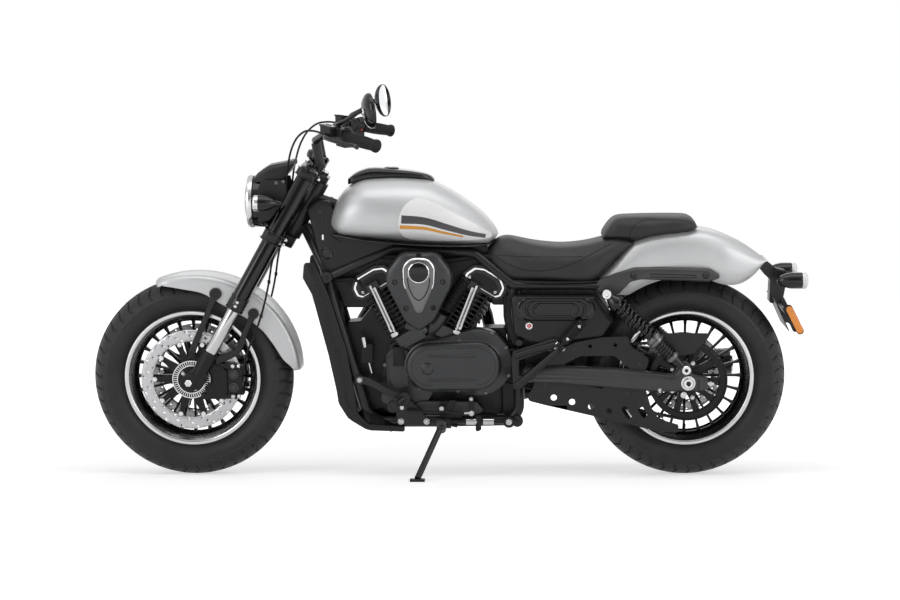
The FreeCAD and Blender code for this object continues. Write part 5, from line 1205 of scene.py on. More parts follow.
def make_cylinders():
    """Finned barrels, rocker boxes with their bright rims, and the pushrod tubes."""
    fins, barrels, covers, chrome, bolts, rods, panels = shapes(7)
    for sign in (-1, 1):
        out, up = cylinder_ways(sign)
        flip = 1 if out.cross(Y).dot(up) > 0 else -1
        for i in range(11):
            height = 150 + i * 15.4
            trim = 5 * abs(math.sin(i * 1.3)) if i % 2 else 0
            rows = [(-61 + trim, -61.5, 22), (61 - trim, -61.5, 22), (61 - trim, 61.5, 22),
                    (-61 + trim, 61.5, 22)]
            fins.slab(rows, from_crank(sign, height, 0), out, Y, 3.2 * flip)
        barrels.lathe([(0, 136), (47, 136), (47, 315), (0, 315)], CRANK, up, 60)
        for y in (-61, 61):
            for across in (-34, 34):
                barrels.rod(from_crank(sign, 140, across, y * 0.93), from_crank(sign, 318, across, y * 0.93),
                        6, steps=12)
        barrels.box((96, 112, 14), from_crank(sign, 143, 0), Matrix((out, Y, up)).transposed())
        head = [(-64, -6, 6), (-70, 18, 14), (-54, 56, 20), (-22, 70, 16), (46, 70, 20), (76, 44, 20),
                (78, 12, 12), (64, -6, 6)]
        covers.slab(head, from_crank(sign, 312, 0, 61.5 * flip), out, up, 123)
        face = [(-58, 2, 6), (-63, 20, 12), (-49, 51, 17), (-20, 63, 12), (42, 63, 17), (68, 41, 17),
                (70, 14, 10), (58, 2, 6)]
        for side in (-1, 1):
            level = side * 61.5
            covers.slab(face, from_crank(sign, 312, 0, level), out, up, 6 * (-side) * flip)
            panels.slab([(p[0] * 0.72 - 1, 10 + (p[1] - 6) * 0.62, p[2] * 0.7) for p in face],
                        from_crank(sign, 312, 0, side * 67), out, up, 3 * (-side) * flip)
            band(chrome, face, from_crank(sign, 312, 0, side * 67.2), out, up, 3.2 * (-side) * flip, 0.88,
                    (0, -1.5))
            for across in (-46, 48):
                bolts.bolt(from_crank(sign, 312 + 16, across * 0.98, side * 67), Y * side, 4.2, 4)
        covers.slab([(-50, 0, 8), (50, 0, 8), (44, 8, 3), (-44, 8, 3)], from_crank(sign, 368, 0, 40 * flip),
                out, up, 80)
        foot = at(-122, -92, 433.6) if sign < 0 else at(44, -92, 440)
        top = at(-206, -92, 620) if sign < 0 else at(114, -92, 620)
        way = (top - foot).normalized()
        start = foot + way * 48
        for shift in (-7, 7):
            slide = at(shift, 0, -shift * 0.4 * (1 if sign < 0 else -1))
            rods.rod(start + slide, top + slide - way * 2, 5.4, steps=28)
            rods.lathe([(0, 0), (6.8, 0), (6.8, 12), (6, 14), (6, 20), (0, 20)],
                    start + slide - way * 2, way, 28)
            rods.lathe([(0, -10), (6.8, -10), (6.8, 4), (0, 4)], top + slide, way, 28)
        rods.lathe([(0, -14), (15, -14), (17, -10), (17, -2), (13, 0), (0, 0)], start, way, 28)
        covers.box((40, 26, 26), top + way * 2 + Y * 12, Matrix((out, Y, up)).transposed())
    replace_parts(barrels.done("cylinder_barrels", "root", "engine_black", bevel=1.0), "cylinders")
    fins.done("cylinder_fins", "root", "satin_charcoal", bevel=0.7)
    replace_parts(covers.done("rocker_boxes", "root", "gloss_black", bevel=2.2, smooth=40), "rocker_covers")
    panels.done("rocker_panels", "root", "engine_black", bevel=1.0)
    chrome.done("rocker_brightwork", "root", "chrome", bevel=1.2, smooth=40)
    bolts.done("rocker_bolts", "root", "zinc")
    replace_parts(rods.done("pushrod_covers", "root", "push_chrome", bevel=0.4, smooth=40), "pushrod_tubes")


def make_air_cleaner():
    """Shield-shaped shell with a drop-shaped field, chrome on only the upper part of the drop's rim as a painted
    highlight, and a round badge, left plain.
    """
    outline = rounded([(-114, 741, 44), (0, 741, 44), (48, 678, 50), (44, 636, 60), (-12, 524, 40),
            (-50, 497, 16), (-64, 497, 16), (-102, 524, 40), (-158, 636, 60), (-162, 678, 50)])
    drop = rounded([(-57, 728, 46), (-4, 722, 40), (-8, 640, 70), (-57, 530, 14), (-106, 640, 70),
            (-110, 722, 40)])
    badge_at = at(-57, 0, 681)

    def layers(shape, points, middle, steps, **how):
        return shape.skin([[at(p.x, level, p.y) for p in drawn_in(points, Vector(middle), share)]
                           for share, level in steps], **how)

    shield = layers(Shape(), outline, (-57, 650),
            ((0.10, -96), (0.03, -106), (0, -116), (0, -170), (0.012, -176), (0.04, -181), (0.10, -185),
            (0.30, -188)))
    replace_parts(shield.done("air_cleaner_shell", "root", "engine_grey", bevel=0.6, smooth=26), "air_cleaner")
    lip = layers(Shape(), outline, (-57, 650), ((-0.012, -150), (-0.012, -154), (0.01, -154), (0.01, -150)),
                 closed_along=True)
    lip.done("air_cleaner_lip", "root", "gloss_black")
    # The chrome runs only round the drop's upper part, as a painted highlight where light falls; the lower part of
    # the rim keeps the field's darker colour as painted shade.
    foot = drop.index(min(drop, key=lambda p: p.y))
    upper = [p for p in drop[foot:] + drop[:foot] if p.y > 618]
    chrome = layers(Shape(), upper, (-57, 668), ((0, -186), (0.0, -189), (0.03, -193), (0.08, -194.5),
            (0.13, -192), (0.15, -188)), closed_across=False, caps=False)
    chrome.lathe([(29, 190), (29.6, 196), (31, 197.4), (32.6, 196.6), (33.4, 190)], badge_at, -Y, 72,
            closed=True)
    chrome.done("air_cleaner_chrome_and_painted_highlight", "root", "chrome", smooth=50)
    field = layers(Shape(), drop, (-57, 668), ((0.01, -186), (0.03, -189.5), (0.12, -191.5), (0.5, -192.5)))
    field.done("air_cleaner_field", "root", "dark_metal", smooth=60)
    badge = Shape().lathe([(0, 196.5), (14, 196), (22, 194.8), (29, 193), (29, 188), (0, 188)],
            badge_at, -Y, 64)
    badge.done("air_cleaner_badge", "root", "gloss_black", smooth=60)
    groove = Shape().pipe([at(x, -192, z) for x, z in ((-92, 664), (-88, 636), (-74, 606), (-57, 594),
            (-40, 606), (-26, 636), (-22, 664))], 2.0, 12, 10)
    groove.done("air_cleaner_groove", "root", "gloss_black")
    bolts = Shape()
    for x, z in ((-132, 650), (18, 651), (-97, 568), (-12, 569), (-57, 736)):
        bolts.lathe([(8.5, 180), (8.5, 189), (7, 190), (5.4, 190), (5.4, 187), (0, 187)], at(x, 0, z), -Y, 24)
    bolts.done("air_cleaner_bolts", "root", "rubber")
    intake, runners = shapes(2)
    folds = [row for k in range(12) for row in
             ((17, k * 10), (20.5, k * 10 + 2), (20.5, k * 10 + 5), (17, k * 10 + 7))]
    start, end = at(88, -84, 646), at(18, -84, 540)
    intake.lathe([(0, -4)] + folds + [(0, 122)], start, end - start, 32)
    intake.done("intake_bellows", "root", "rubber", smooth=30)
    runners.pipe([at(14, -80, 536), at(-8, -74, 500), at(-20, -60, 470)], [22, 24, 26], 24, 8)
    runners.pipe([at(-104, -70, 500), at(-70, -72, 486), at(-40, -66, 474)], [20, 22, 22], 24, 8)
    runners.box((90, 60, 46), at(-88, -64, 458), Matrix.Rotation(math.radians(-28), 3, "Y"))
    runners.box((74, 50, 40), at(30, -64, 470), Matrix.Rotation(math.radians(24), 3, "Y"))
    runners.done("intake_castings", "root", "engine_grey", bevel=5, smooth=45)


def stadium(c1, r1, c2, r2, steps=26):
    """Outline of two circles joined by their outer tangents."""
    a, b = Vector(c1), Vector(c2)
    way = b - a
    angle = math.atan2(way.y, way.x)
    tilt = math.acos((r1 - r2) / way.length)
    points = []
    for centre, radius, start, end in ((b, r2, angle - tilt, angle + tilt),
            (a, r1, angle + tilt, angle + 2 * math.pi - tilt)):
        for k in range(steps + 1):
            turn = start + (end - start) * k / steps
            points.append(centre + Vector((math.cos(turn), math.sin(turn))) * radius)
    return points


def make_covers():
    """Primary cover with its raised oval, ribs and plug, and the rest of both sides of the crankcase."""
    oval, plug = ((-26, 369), (121, 373)), at(-33, 0, 365)
    rings = []
    for grow, level in ((0, -62.5), (0, -98), (-2, -104), (-6, -107)):
        rings.append([at(p.x, level, p.y) for p in stadium((-26, 369), 78 + grow, (127, 381), 108 + grow)])
    for grow, level in ((-24, -109), (-29, -112), (-31, -120), (-34, -125), (-39, -128), (-44, -128.3)):
        rings.append([at(p.x, level, p.y) for p in stadium(oval[0], 106 + grow, oval[1], 107 + grow)])
    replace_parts(Shape().skin(rings).done("primary_case", "root", "engine_grey", bevel=0, smooth=32),
            "primary_cover")
    raised, groove, bolts, side, right, screws = shapes(6)
    for z in (404, 328):
        raised.pipe([at(-30, -127.6, z), at(44, -127.6, z + 1.48), at(120, -127.6, z + 3)], [3.6, 4.4, 4.4],
                16, 6)
    raised.lathe([(0, 131), (14, 131), (17, 129), (17, 126)], plug, -Y, 40)
    raised.done("primary_ribs", "root", "engine_grey", smooth=50)
    groove.pipe([at(p.x, -128.4, p.y) for p in stadium(oval[0], 59, oval[1], 60)], 0.7, 8, 1)
    groove.lathe([(17.6, 126), (19.2, 128.9), (17.6, 129.6), (17, 128)], plug, -Y, 48, closed=True)
    groove.done("primary_seams", "root", "gloss_black")
    rim_bolts = ((68, 452), (62, 290), (-80, 424), (-98, 345), (-60, 300), (214, 430), (222, 340), (170, 476),
            (150, 284))
    case_bolts = ((-157, 398), (-157, 338), (-110, 424), (-62, 446), (-2, 464), (-150, 286), (-90, 250),
            (20, 246), (-172, 366))
    for level, spots in ((-106, rim_bolts), (-63, case_bolts)):
        for x, z in spots:
            bolts.bolt(at(x, level, z), -Y, 5, 5)
    bolts.done("case_bolts", "root", "dark_metal")
    for level, depth, rows in (
            (-62, 10, [(-168, 400, 14), (-150, 418, 14), (-60, 458, 14), (10, 476, 10), (10, 330, 4),
                       (-40, 240, 20), (-120, 236, 20), (-166, 300, 20)]),
            (-70, 16, [(-160, 390, 10), (-140, 408, 10), (-96, 424, 10), (-96, 300, 10), (-140, 290, 20),
                       (-158, 330, 10)]),
            (-62, 22, [(-60, 252, 10), (120, 250, 10), (150, 214, 10), (60, 208, 6), (-110, 214, 10)])):
        side.slab(rows, at(0, level, 0), X, Z, depth)
    for x in (-84, -34, 16, 66):
        side.box((7, 22, 42), at(x, -66, 228))
    side.slab([(-176, 300, 10), (-120, 250, 12), (-130, 226, 10), (-186, 250, 14)], at(0, -60, 0), X, Z, 20)
    side.done("case_side", "root", "engine_grey", bevel=1.6, smooth=40)
    clutch, points = at(100, 0, 364), at(-70, 0, 330)
    right.lathe([(0, 60), (70, 60), (84, 57), (91, 50), (96, 44), (96, 0), (0, 0)], clutch + Y * 62.3, Y, 72)
    right.lathe([(0, 48), (44, 48), (56, 44), (61, 36), (64, 30), (64, 0), (0, 0)], points + Y * 62.3, Y, 64)
    right.slab([(-70, 266, 30), (100, 268, 40), (100, 440, 40), (-70, 394, 30)], at(0, 62.3, 0), X, Z, -24)
    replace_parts(right.done("clutch_cover", "root", "engine_grey", bevel=1.2, smooth=32), "right_engine_cover")
    for centre, radius, level, count in ((clutch, 88, 106, 9), (points, 57, 94, 7)):
        for k in range(count):
            screws.bolt(around(centre, radius, 2 * math.pi * (k + 0.5) / count, level), Y, 4.6, 5)
    screws.done("clutch_cover_bolts", "root", "zinc")
    filler = Shape().lathe([(0, 26), (9, 26), (13, 22), (15, 20), (15, 12), (18, 10), (18, 0), (0, 0)],
                           at(160, 112, 440), Z, 24)
    filler.done("oil_filler", "root", "gloss_black", bevel=1)


def make_lower_left():
    """Foot-control arm, linkage, footrest hangers, hoses and the small parts low on the left."""
    arm, bits, rods, hoses = shapes(4)
    for side in (-1, 1):
        out = Y * side
        path = smooth_line(mirrored(side, ((-250, 104, 326), (-214, 112, 318), (-160, 124, 292),
                (-112, 130, 272))), 8)
        arm.strap(path, lambda i: 13 - 3 * i / len(path), 6)
        arm.drum(at(-108, side * 130, 272), Y, 21, 12, 2, 3, 36)
        arm.drum(at(-250, side * 104, 326), Y, 16, 9, 1, 2, 30)
        arm.slab([(-130, 262, 10), (-92, 262, 10), (-34, 200, 10), (-34, 180, 8), (-130, 180, 8),
                (-136, 220, 10)], at(0, side * 104 + 4, 0), X, Z, 8)
        for x in (-120, -38):
            bits.bolt(at(x, side * 108, 191), out, 8, 6)
        bits.lathe([(0, 12), (7, 12), (9, 9), (9, 0), (0, 0)], at(-116, side * 108, 238), out, 6)
        bits.bolt(at(-250, side * 113, 326), out, 7, 6)
        arm.pipe(mirrored(side, ((-108, 140, 272), (-128, 160, 262), (-140, 170, 262))), 8, 14, 6)
        arm.lathe([(0, 0), (11, 0), (13, 3)] + ribs(6, 9, 6.4, 15, 12.6, 3.4, 2)
                + [(16, 64), (16, 66), (0, 66)], at(-140, side * 168, 262), out, 28)
    for x in (88, 142):
        bits.lathe([(0, 0), (11, 0), (11, 34), (0, 34)], at(x, -118, 194), X, 28)
    rods.rod(at(40, -118, 194), at(224, -118, 194), 7)
    rods.rod(at(24, -112, 186), at(60, -112, 178), 6)
    rods.drum(at(224, -118, 193), Y, 19, 9, 2, 3, 32)
    rods.slab([(118, 214, 6), (136, 214, 6), (136, 168, 6), (118, 160, 6)], at(0, -116, 0), X, Z, 12)
    bits.bolt(at(224, -127, 193), -Y, 8, 6)
    rods.slab([(96, 276, 7), (112, 276, 7), (113, 214, 7), (97, 214, 7)], at(0, -124, 0), X, Z, 6)
    bits.bolt(at(104, -130, 268), -Y, 5, 5).bolt(at(105, -130, 222), -Y, 7, 5)
    bits.rod(at(105, -127, 222), at(80, -127, 222), 3.5)
    rods.rod(at(-100, -127, 230), at(82, -127, 222), 4.5)
    rods.lathe([(0, -8), (12, -8), (12, 8), (0, 8)], at(10, -118, 236), Y, 24)
    bits.bolt(at(10, -126, 236), -Y, 6, 4)
    rods.slab([(16, 232, 4), (36, 262, 4), (60, 262, 4), (44, 226, 4)], at(0, -112, 0), X, Z, 6)
    rods.box((70, 40, 30), at(40, -84, 200))
    hoses.pipe([at(-250, -78, 470), at(-236, -92, 440), at(-226, -94, 380), at(-214, -84, 330)], 5, 12, 8)
    bits.rod(at(-238, -100, 462), at(-232, -100, 430), 7)
    bits.rod(at(-231, -100, 424), at(-212, -98, 346), 3)
    hoses.box((34, 40, 60), at(-226, -86, 410))
    hoses.lathe([(0, 0), (22, 0), (24, 4), (24, 56), (20, 62), (0, 62)], at(-186, 0, 262), -X, 40)
    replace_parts(arm.done("foot_control_arms", "root", "frame_black", bevel=1.0, smooth=40), "foot_controls")
    bits.done("linkage_bright_parts", "root", "push_chrome", bevel=0.5, smooth=40)
    rods.done("linkage_rods", "root", "engine_black", bevel=0.8, smooth=40)
    hoses.done("engine_hoses", "root", "rubber", bevel=1.0, smooth=50)


def make_exhaust():
    """Silencer cover with its tip and bands, and heat shields on the pipes."""
    foot = at(420, 206, 274)
    axis = (at(960, 214, 330) - foot).normalized()
    cover = Shape().lathe([(21, -30), (30, -14), (43, 6), (46, 14), (46, 20), (45, 22), (45, 498), (46, 500),
            (46, 512), (44, 520), (38, 528), (36, 545), (33, 545), (33, 500), (0, 500)], foot, axis, 64)
    cover.done("silencer_cover", "root", "gloss_black", smooth=30)
    tip = Shape().lathe([(36.2, 526), (38, 545), (37, 549), (34, 549), (33, 540), (33.5, 528)], foot, axis,
            48, closed=True)
    tip.done("silencer_tip", "root", "chrome", smooth=40)
    bands, shields = shapes(2)
    for start in (40, 300):
        bands.lathe([(45, start), (47.5, start + 1), (47.5, start + 13), (45, start + 14)], foot, axis, 48,
                closed=True)
    bands.done("silencer_bands", "root", "zinc")
    shields.pipe([at(-262, 165, 440), at(-262, 165, 380), at(-258, 165, 320)], 25, 28, 8)
    shields.pipe([at(-120, 165, 219), at(30, 165, 217), at(180, 165, 216)], 25, 28, 8)
    shields.done("exhaust_shields", "root", "gloss_black", smooth=40)


make_cylinders()
make_air_cleaner()
make_covers()
make_lower_left()
make_exhaust()


# ---------------------------------------------------------------- frame and covers
def pierced(shape, rows, holes, place, u, v, depth):
    """Flat plate with openings; every opening is a list of (u, v, corner radius) rows."""
    normal = u.cross(v).normalized()
    loops = [rounded(rows)] + [rounded(hole) for hole in holes]
    flat = [p for loop in loops for p in loop]
    triangles = tessellate_polygon([[p.to_3d() for p in loop] for loop in loops])
    levels = []
    for level in (0, depth):
        levels.append([shape.mesh.verts.new(place + u * p.x + v * p.y + normal * level) for p in flat])
    for made in levels:
        for a, b, c in triangles:
            shape.mesh.faces.new((made[a], made[b], made[c]))
    start = 0
    for loop in loops:
        count = len(loop)
        for k in range(count):
            a, b = start + k, start + (k + 1) % count
            shape.mesh.faces.new((levels[0][a], levels[0][b], levels[1][b], levels[1][a]))
        start += count
    return shape


def round_hole(x, z, radius):
    """Outline rows of a round hole."""
    return [(x + i * radius, z + j * radius, radius * 0.98) for i, j in CORNERS]


def dished(shape, outline, place, u, v, out, steps):
    """Rings of an outline, each shrunk by a share and raised by a height, closed at the last."""
    middle = sum(outline, Vector((0, 0))) / len(outline)
    rings = []
    for shrink, level in steps:
        keep, ring = 1 - shrink, []
        for p in outline:
            along, up = middle.x + (p.x - middle.x) * keep, middle.y + (p.y - middle.y) * keep
            ring.append(place + u * along + v * up + out * level)
        rings.append(ring)
    return shape.skin(rings)


def make_frame():
    """Radiator's fins and tanks, the frame's joints, near-black blocks behind them that stand in for the hidden
    inner parts and paint the shade between the parts, and wiring.
    """
    grille, tanks, joints, bolts, inner, wires = shapes(6)
    lean_back = math.atan2(76, 262)
    normal = at(-math.cos(lean_back), 0, -math.sin(lean_back))
    upward = at(-math.sin(lean_back), 0, math.cos(lean_back))
    turn = Matrix((normal, Y, upward)).transposed()
    middle = at(-300, 0, 460) + normal * (17 + 16.3)
    for k in range(-8, 9):
        spot = middle + normal * 17 + Y * (k * 9.4)
        grille.rod(spot - upward * 138, spot + upward * 138, 1.4, steps=8)
    for k in range(-22, 23):
        grille.box((6, 164, 1.0), middle + normal * 15 + upward * (k * 6), turn)
    grille.done("radiator_fins", "root", "engine_grey")
    for side in (-1, 1):
        tanks.box((38, 16, 292), middle + Y * (side * 88), turn)
    tanks.rod(middle + upward * 150 + Y * 60, middle + upward * 168 + Y * 60, 16)
    tanks.done("radiator_tanks", "root", "engine_black", bevel=3)
    for side in (-1, 1):
        for x, z in ((-352, 652), (240, 600), (250, 190)):
            joints.drum(at(x, side * 90, z), Y, 19, 10, 2, 3, 28)
            bolts.bolt(at(x, side * 100, z), Y * side, 6, 5)
    joints.done("frame_joints", "root", "frame_black", bevel=0.8)
    bolts.done("frame_bolts", "root", "gloss_black")
    # Near-black blocks filling the gaps behind the frame, engine and guards: partly stand-ins for the hidden inner
    # parts, partly painted shade where those gaps look dark.
    for half, rows in (
            (40, [(-338, 690, 20), (-306, 772, 20), (-190, 766, 20), (150, 748, 30), (206, 690, 20),
                  (196, 640, 20), (120, 600, 20), (-28, 480, 30), (-180, 590, 20), (-290, 610, 20)]),
            (40, [(-340, 664, 10), (-180, 664, 10), (-180, 566, 10), (-232, 548, 10), (-304, 548, 10)]),
            (40, [(-296, 500, 10), (-250, 504, 6), (-212, 552, 6), (-130, 552, 10), (-130, 230, 10),
                  (-250, 204, 10), (-280, 330, 10)]),
            (40, [(150, 640, 10), (216, 640, 10), (216, 556, 10), (170, 556, 10)]),
            (40, [(140, 482, 10), (216, 482, 10), (216, 200, 10), (140, 200, 10)]),
            (92, [(214, 600, 20), (500, 598, 20), (548, 540, 20), (500, 440, 20), (236, 430, 20),
                  (220, 480, 20)]),
            (44, [(204, 640, 10), (262, 640, 10), (262, 430, 10), (222, 430, 10), (206, 520, 20)]),
            (60, [(258, 446, 6), (440, 446, 10), (430, 300, 20), (262, 286, 20)]),
            (54, [(196, 440, 20), (262, 440, 10), (270, 260, 20), (250, 200, 20), (204, 200, 10)])):
        inner.slab(rows, Y * half, X, Z, 2 * half)
    inner.done("shade_filler_blocks", "root", "engine_black", bevel=4)
    for side in (-1, 1):
        wires.pipe(mirrored(side, ((-300, 58, 700), (-180, 60, 716), (0, 58, 700), (160, 60, 712),
                (230, 90, 630))), 9, 12, 8)
        wires.pipe(mirrored(side, ((-330, 62, 640), (-262, 66, 640), (-226, 60, 600))), 7, 12, 8)
    wires.done("wiring_looms", "root", "rubber", smooth=60)


def make_head_covers():
    """Panels at the steering head, with a groove, a round plug and bolts."""
    shape, trim, bolts, marks = shapes(4)
    outline = rounded([(-414, 868, 8), (-380, 894, 10), (-340, 892, 8), (-338, 822, 40), (-312, 784, 20),
            (-230, 768, 20), (-142, 762, 6), (-142, 748, 6), (-230, 702, 20), (-318, 662, 10), (-350, 656, 8),
            (-366, 686, 10)])
    for side in (-1, 1):
        out, plug = Y * side, at(-352, side * 60, 726)
        dished(shape, outline, at(0, side * 60, 0), X, Z, out,
                ((0, 0), (0, 11), (0.015, 13), (0.05, 14.5), (0.2, 15.5)))
        trim.pipe([at(x, side * 76, z) for x, z in ((-352, 846), (-350, 810), (-334, 780), (-306, 762))], 1.4,
                8, 8)
        trim.lathe([(14, 14), (18, 14), (19, 16.5), (17, 18), (14, 17)], plug, out, 40, closed=True)
        trim.lathe([(0, 17), (13, 16.4), (13, 13), (0, 13)], plug, out, 40)
        bolts.bolt(at(-372, side * 75, 858), out, 4.5, 4)
        bolts.bolt(at(-390, side * 74.5, 822), out, 4, 4)
        marks.box((6, 2, 17), at(-364, side * 75.5, 778))
    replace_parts(shape.done("head_covers", "root", "black_plastic", bevel=0.8, smooth=30), "head_side_covers")
    trim.done("head_cover_trim", "root", "gloss_black")
    bolts.done("head_cover_bolts", "root", "engine_grey")
    marks.done("head_cover_slots", "root", "zinc", bevel=0.6)


def make_radiator_cowl():
    """Cowl sides down the front of the frame, with screws and a rib, and the belly guard between them."""
    shroud, screws, lips, belly = shapes(4)
    outline = rounded([(-422, 700, 10), (-426, 652, 10), (-398, 600, 20), (-348, 406, 40), (-324, 292, 30),
            (-318, 250, 40), (-288, 200, 70), (-226, 162, 60), (-108, 158, 6), (-108, 176, 6),
            (-222, 182, 40), (-256, 216, 40), (-274, 330, 30), (-290, 420, 30), (-342, 590, 20),
            (-372, 660, 10), (-392, 700, 10)])
    rib = ((-396, 640), (-372, 590), (-322, 410), (-300, 300), (-290, 244), (-262, 200), (-226, 170))
    for side in (-1, 1):
        shroud.skin([[at(p.x, side * (99 + level), p.y) for p in pulled_in(outline, pull)]
                     for pull, level in ((0, 0), (0, 8), (1.2, 10), (4, 11.5))])
        for x, z in ((-390, 670), (-322, 420), (-286, 240), (-152, 164)):
            screws.bolt(at(x, side * 110, z), Y * side, 4.5, 4)
        lips.pipe([at(x, side * 110.5, z) for x, z in rib], 2.2, 10, 8)
    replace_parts(shroud.done("radiator_cowl", "root", "black_plastic", bevel=0.6, smooth=35),
            "radiator_shroud")
    screws.done("radiator_cowl_screws", "root", "gloss_black")
    lips.done("radiator_cowl_rib", "root", "gloss_black")
    belly.slab([(-286, 204, 30), (-228, 165, 30), (-110, 160, 6), (-110, 168, 4), (-224, 174, 30),
            (-272, 212, 30)], at(0, 99, 0), X, Z, 198)
    belly.done("belly_guard", "root", "black_plastic", bevel=1.5)


def make_side_covers():
    """Side panels with a stepped oval inset and a lock."""
    shape, inset, lock, red = shapes(4)
    outline = rounded([(226, 600, 10), (494, 600, 14), (556, 520, 16), (520, 470, 16), (300, 444, 30),
            (238, 474, 20)])
    oval = rounded([(253, 524, 33.5), (488, 524, 33.5), (488, 592, 33.5), (253, 592, 33.5)])
    for side in (-1, 1):
        place, out = at(0, side * 118, 0), Y * side
        dished(shape, outline, place, X, Z, out,
               ((0, 0), (0, 10), (0.012, 18), (0.04, 24), (0.08, 28), (0.13, 30)))
        dished(inset, oval, place, X, Z, out, ((-0.05, 29), (-0.05, 33.5), (-0.02, 35.6), (0.01, 35.2),
                (0.05, 31), (0.06, 30.4), (0.18, 30.6), (0.2, 33.4), (0.24, 33.8), (0.26, 31.2), (0.38, 31.4),
                (0.40, 34.2), (0.44, 34.6), (0.47, 32), (0.9, 32.2)))
        spot = place + at(287, side * 30, 506)
        lock.lathe([(0, 0), (12, 0), (12, 3), (10.5, 5), (7.5, 5), (7, 3), (0, 3)], spot, out, 36)
        lock.box((2, 2.4, 9), spot + out * 3.6)
        red.lathe([(0, 3.2), (6.4, 3.2), (6.4, 2.6), (0, 2.6)], spot + X * 0.3, out, 28)
    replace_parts(shape.done("side_panels", "root", "black_plastic", bevel=2.0, smooth=20), "side_covers")
    inset.done("side_panel_insets", "root", "gloss_black", smooth=35)
    lock.done("side_panel_locks", "root", "zinc", bevel=0.5)
    red.done("side_panel_lock_faces", "root", "red_switch")


# ---------------------------------------------------------------- swingarm, shocks and belt
def make_swingarm():
    """Swingarm beams with their cross tube, pivot, axle, nuts and bolts."""
    arms, nuts, bolts, covers = shapes(4)
    outline = rounded([(264, 322, 16), (264, 370, 16), (380, 376, 60), (560, 368, 100), (744, 348, 20),
            (766, 388, 16), (792, 388, 16), (806, 346, 14), (850, 340, 10), (856, 296, 10), (700, 290, 60),
            (520, 306, 100), (380, 318, 60)])
    for side in (-1, 1):
        out = Y * side
        arms.skin([[at(p.x, side * y, p.y) for p in pulled_in(outline, -pull)] for pull, y in
                   ((0, 118), (0, 124), (2, 132), (5.5, 138.5), (11, 143), (18, 145))])
        nuts.lathe([(7.5, -4), (7.5, 11), (9, 12), (15, 12), (17, 9), (17, 2), (22.5, 2), (23.5, 0),
                (23.5, -4)], REAR + out * 145, out, 40, closed=True)
        covers.lathe([(0, 6), (14, 6), (17, 3), (17, -2), (0, -2)], PIVOT + out * 145, out, 36)
        nuts.lathe([(0, 3), (5, 3), (6, 7), (12, 7), (14.5, 4), (15, 0), (15, -3), (0, -3)],
                SHOCK_FOOT + out * 192, out, 32)
        nuts.lathe([(0, 3), (6, 3), (7, 8), (13, 8), (16, 4), (16.5, 0), (16.5, -4), (0, -4)],
                SHOCK_TOP + out * 193, out, 36)
        for x, z, r in ((776, 284, 8), (846, 322, 5.5), (700, 300, 4.5), (846, 304, 4)):
            bolts.bolt(at(x, side * 144, z), out, r, 5)
        bolts.rod(at(850, side * 132, 318), at(872, side * 132, 317), 5)
        bolts.lathe([(0, 0), (8, 0), (8, 7), (0, 7)], at(858, side * 132, 318), X, 6)
        arms.box((26, 10, 34), at(838, side * 146, 318))
    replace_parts(arms.done("swingarm_beams", "root", "satin_charcoal", bevel=1.2, smooth=32), "swingarm")
    tube = Shape().rod(at(356, -126, 345), at(356, 126, 345), 24, steps=40)
    for place, radius, outer, inner in ((PIVOT, 20, 118, 75), (SHOCK_FOOT, 8, 118, 196)):
        for side in (-1, 1):
            tube.rod(place + Y * (side * outer), place + Y * (side * inner), radius)
    tube.done("swingarm_cross_tube", "root", "frame_black", smooth=40)
    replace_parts(nuts.done("axle_and_shock_nuts", "root", "zinc", bevel=0.6, smooth=40), "rear_axle_and_pivot")
    covers.done("pivot_caps", "root", "gloss_black")
    axle = Shape().rod(REAR - Y * 144, REAR + Y * 144, 9, steps=32).rod(PIVOT - Y * 146, PIVOT + Y * 146, 10,
            steps=32)
    axle.done("rear_axle_shaft", "root", "gloss_black")
    bolts.done("swingarm_bolts", "root", "zinc")


def make_shocks():
    """Spring and damper on each side, with two coils, collars and a bright rod."""
    length = (SHOCK_FOOT - SHOCK_TOP).length
    down = (SHOCK_FOOT - SHOCK_TOP).normalized()
    bodies, springs, chrome = shapes(3)
    for side in (-1, 1):
        start = SHOCK_TOP + Y * (side * 180)
        springs.coil(start, down, 48, 196, 23.4, 4.2, 9, 16, 8)
        springs.coil(start, down, 222, 282, 19.5, 3.2, 6, 16, 8)
        bodies.lathe([(0, 12), (14, 14), (20, 24), (25, 34), (27, 40), (27, 46), (12, 48), (12, 200),
                (16, 206), (16, 300), (13, 318), (12, 340), (0, 344)], start, down, 36)
        bodies.drum(start, Y, 17, 12, 2, 3, 36)
        bodies.drum(start + down * length, Y, 16, 12, 2, 3, 36)
        for steps, rows in (
                (40, [(12, 196), (25, 197), (27, 200), (27, 209), (25, 211), (27, 213), (27, 221), (24, 224),
                      (12, 224)]),
                (36, [(14, 282), (21, 283), (22, 286), (22, 292), (20, 295), (14, 296)]),
                (24, [(6, 50), (8.5, 50), (8.5, 196), (6, 196)])):
            chrome.lathe(rows, start, down, steps, closed=True)
    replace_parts(bodies.done("shock_bodies", "root", "gloss_black", bevel=0.5, smooth=40), "shock_absorbers")
    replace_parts(springs.done("shock_coils", "root", "gloss_black", smooth=70), "shock_springs")
    chrome.done("shock_collars", "root", "dark_metal", smooth=40)


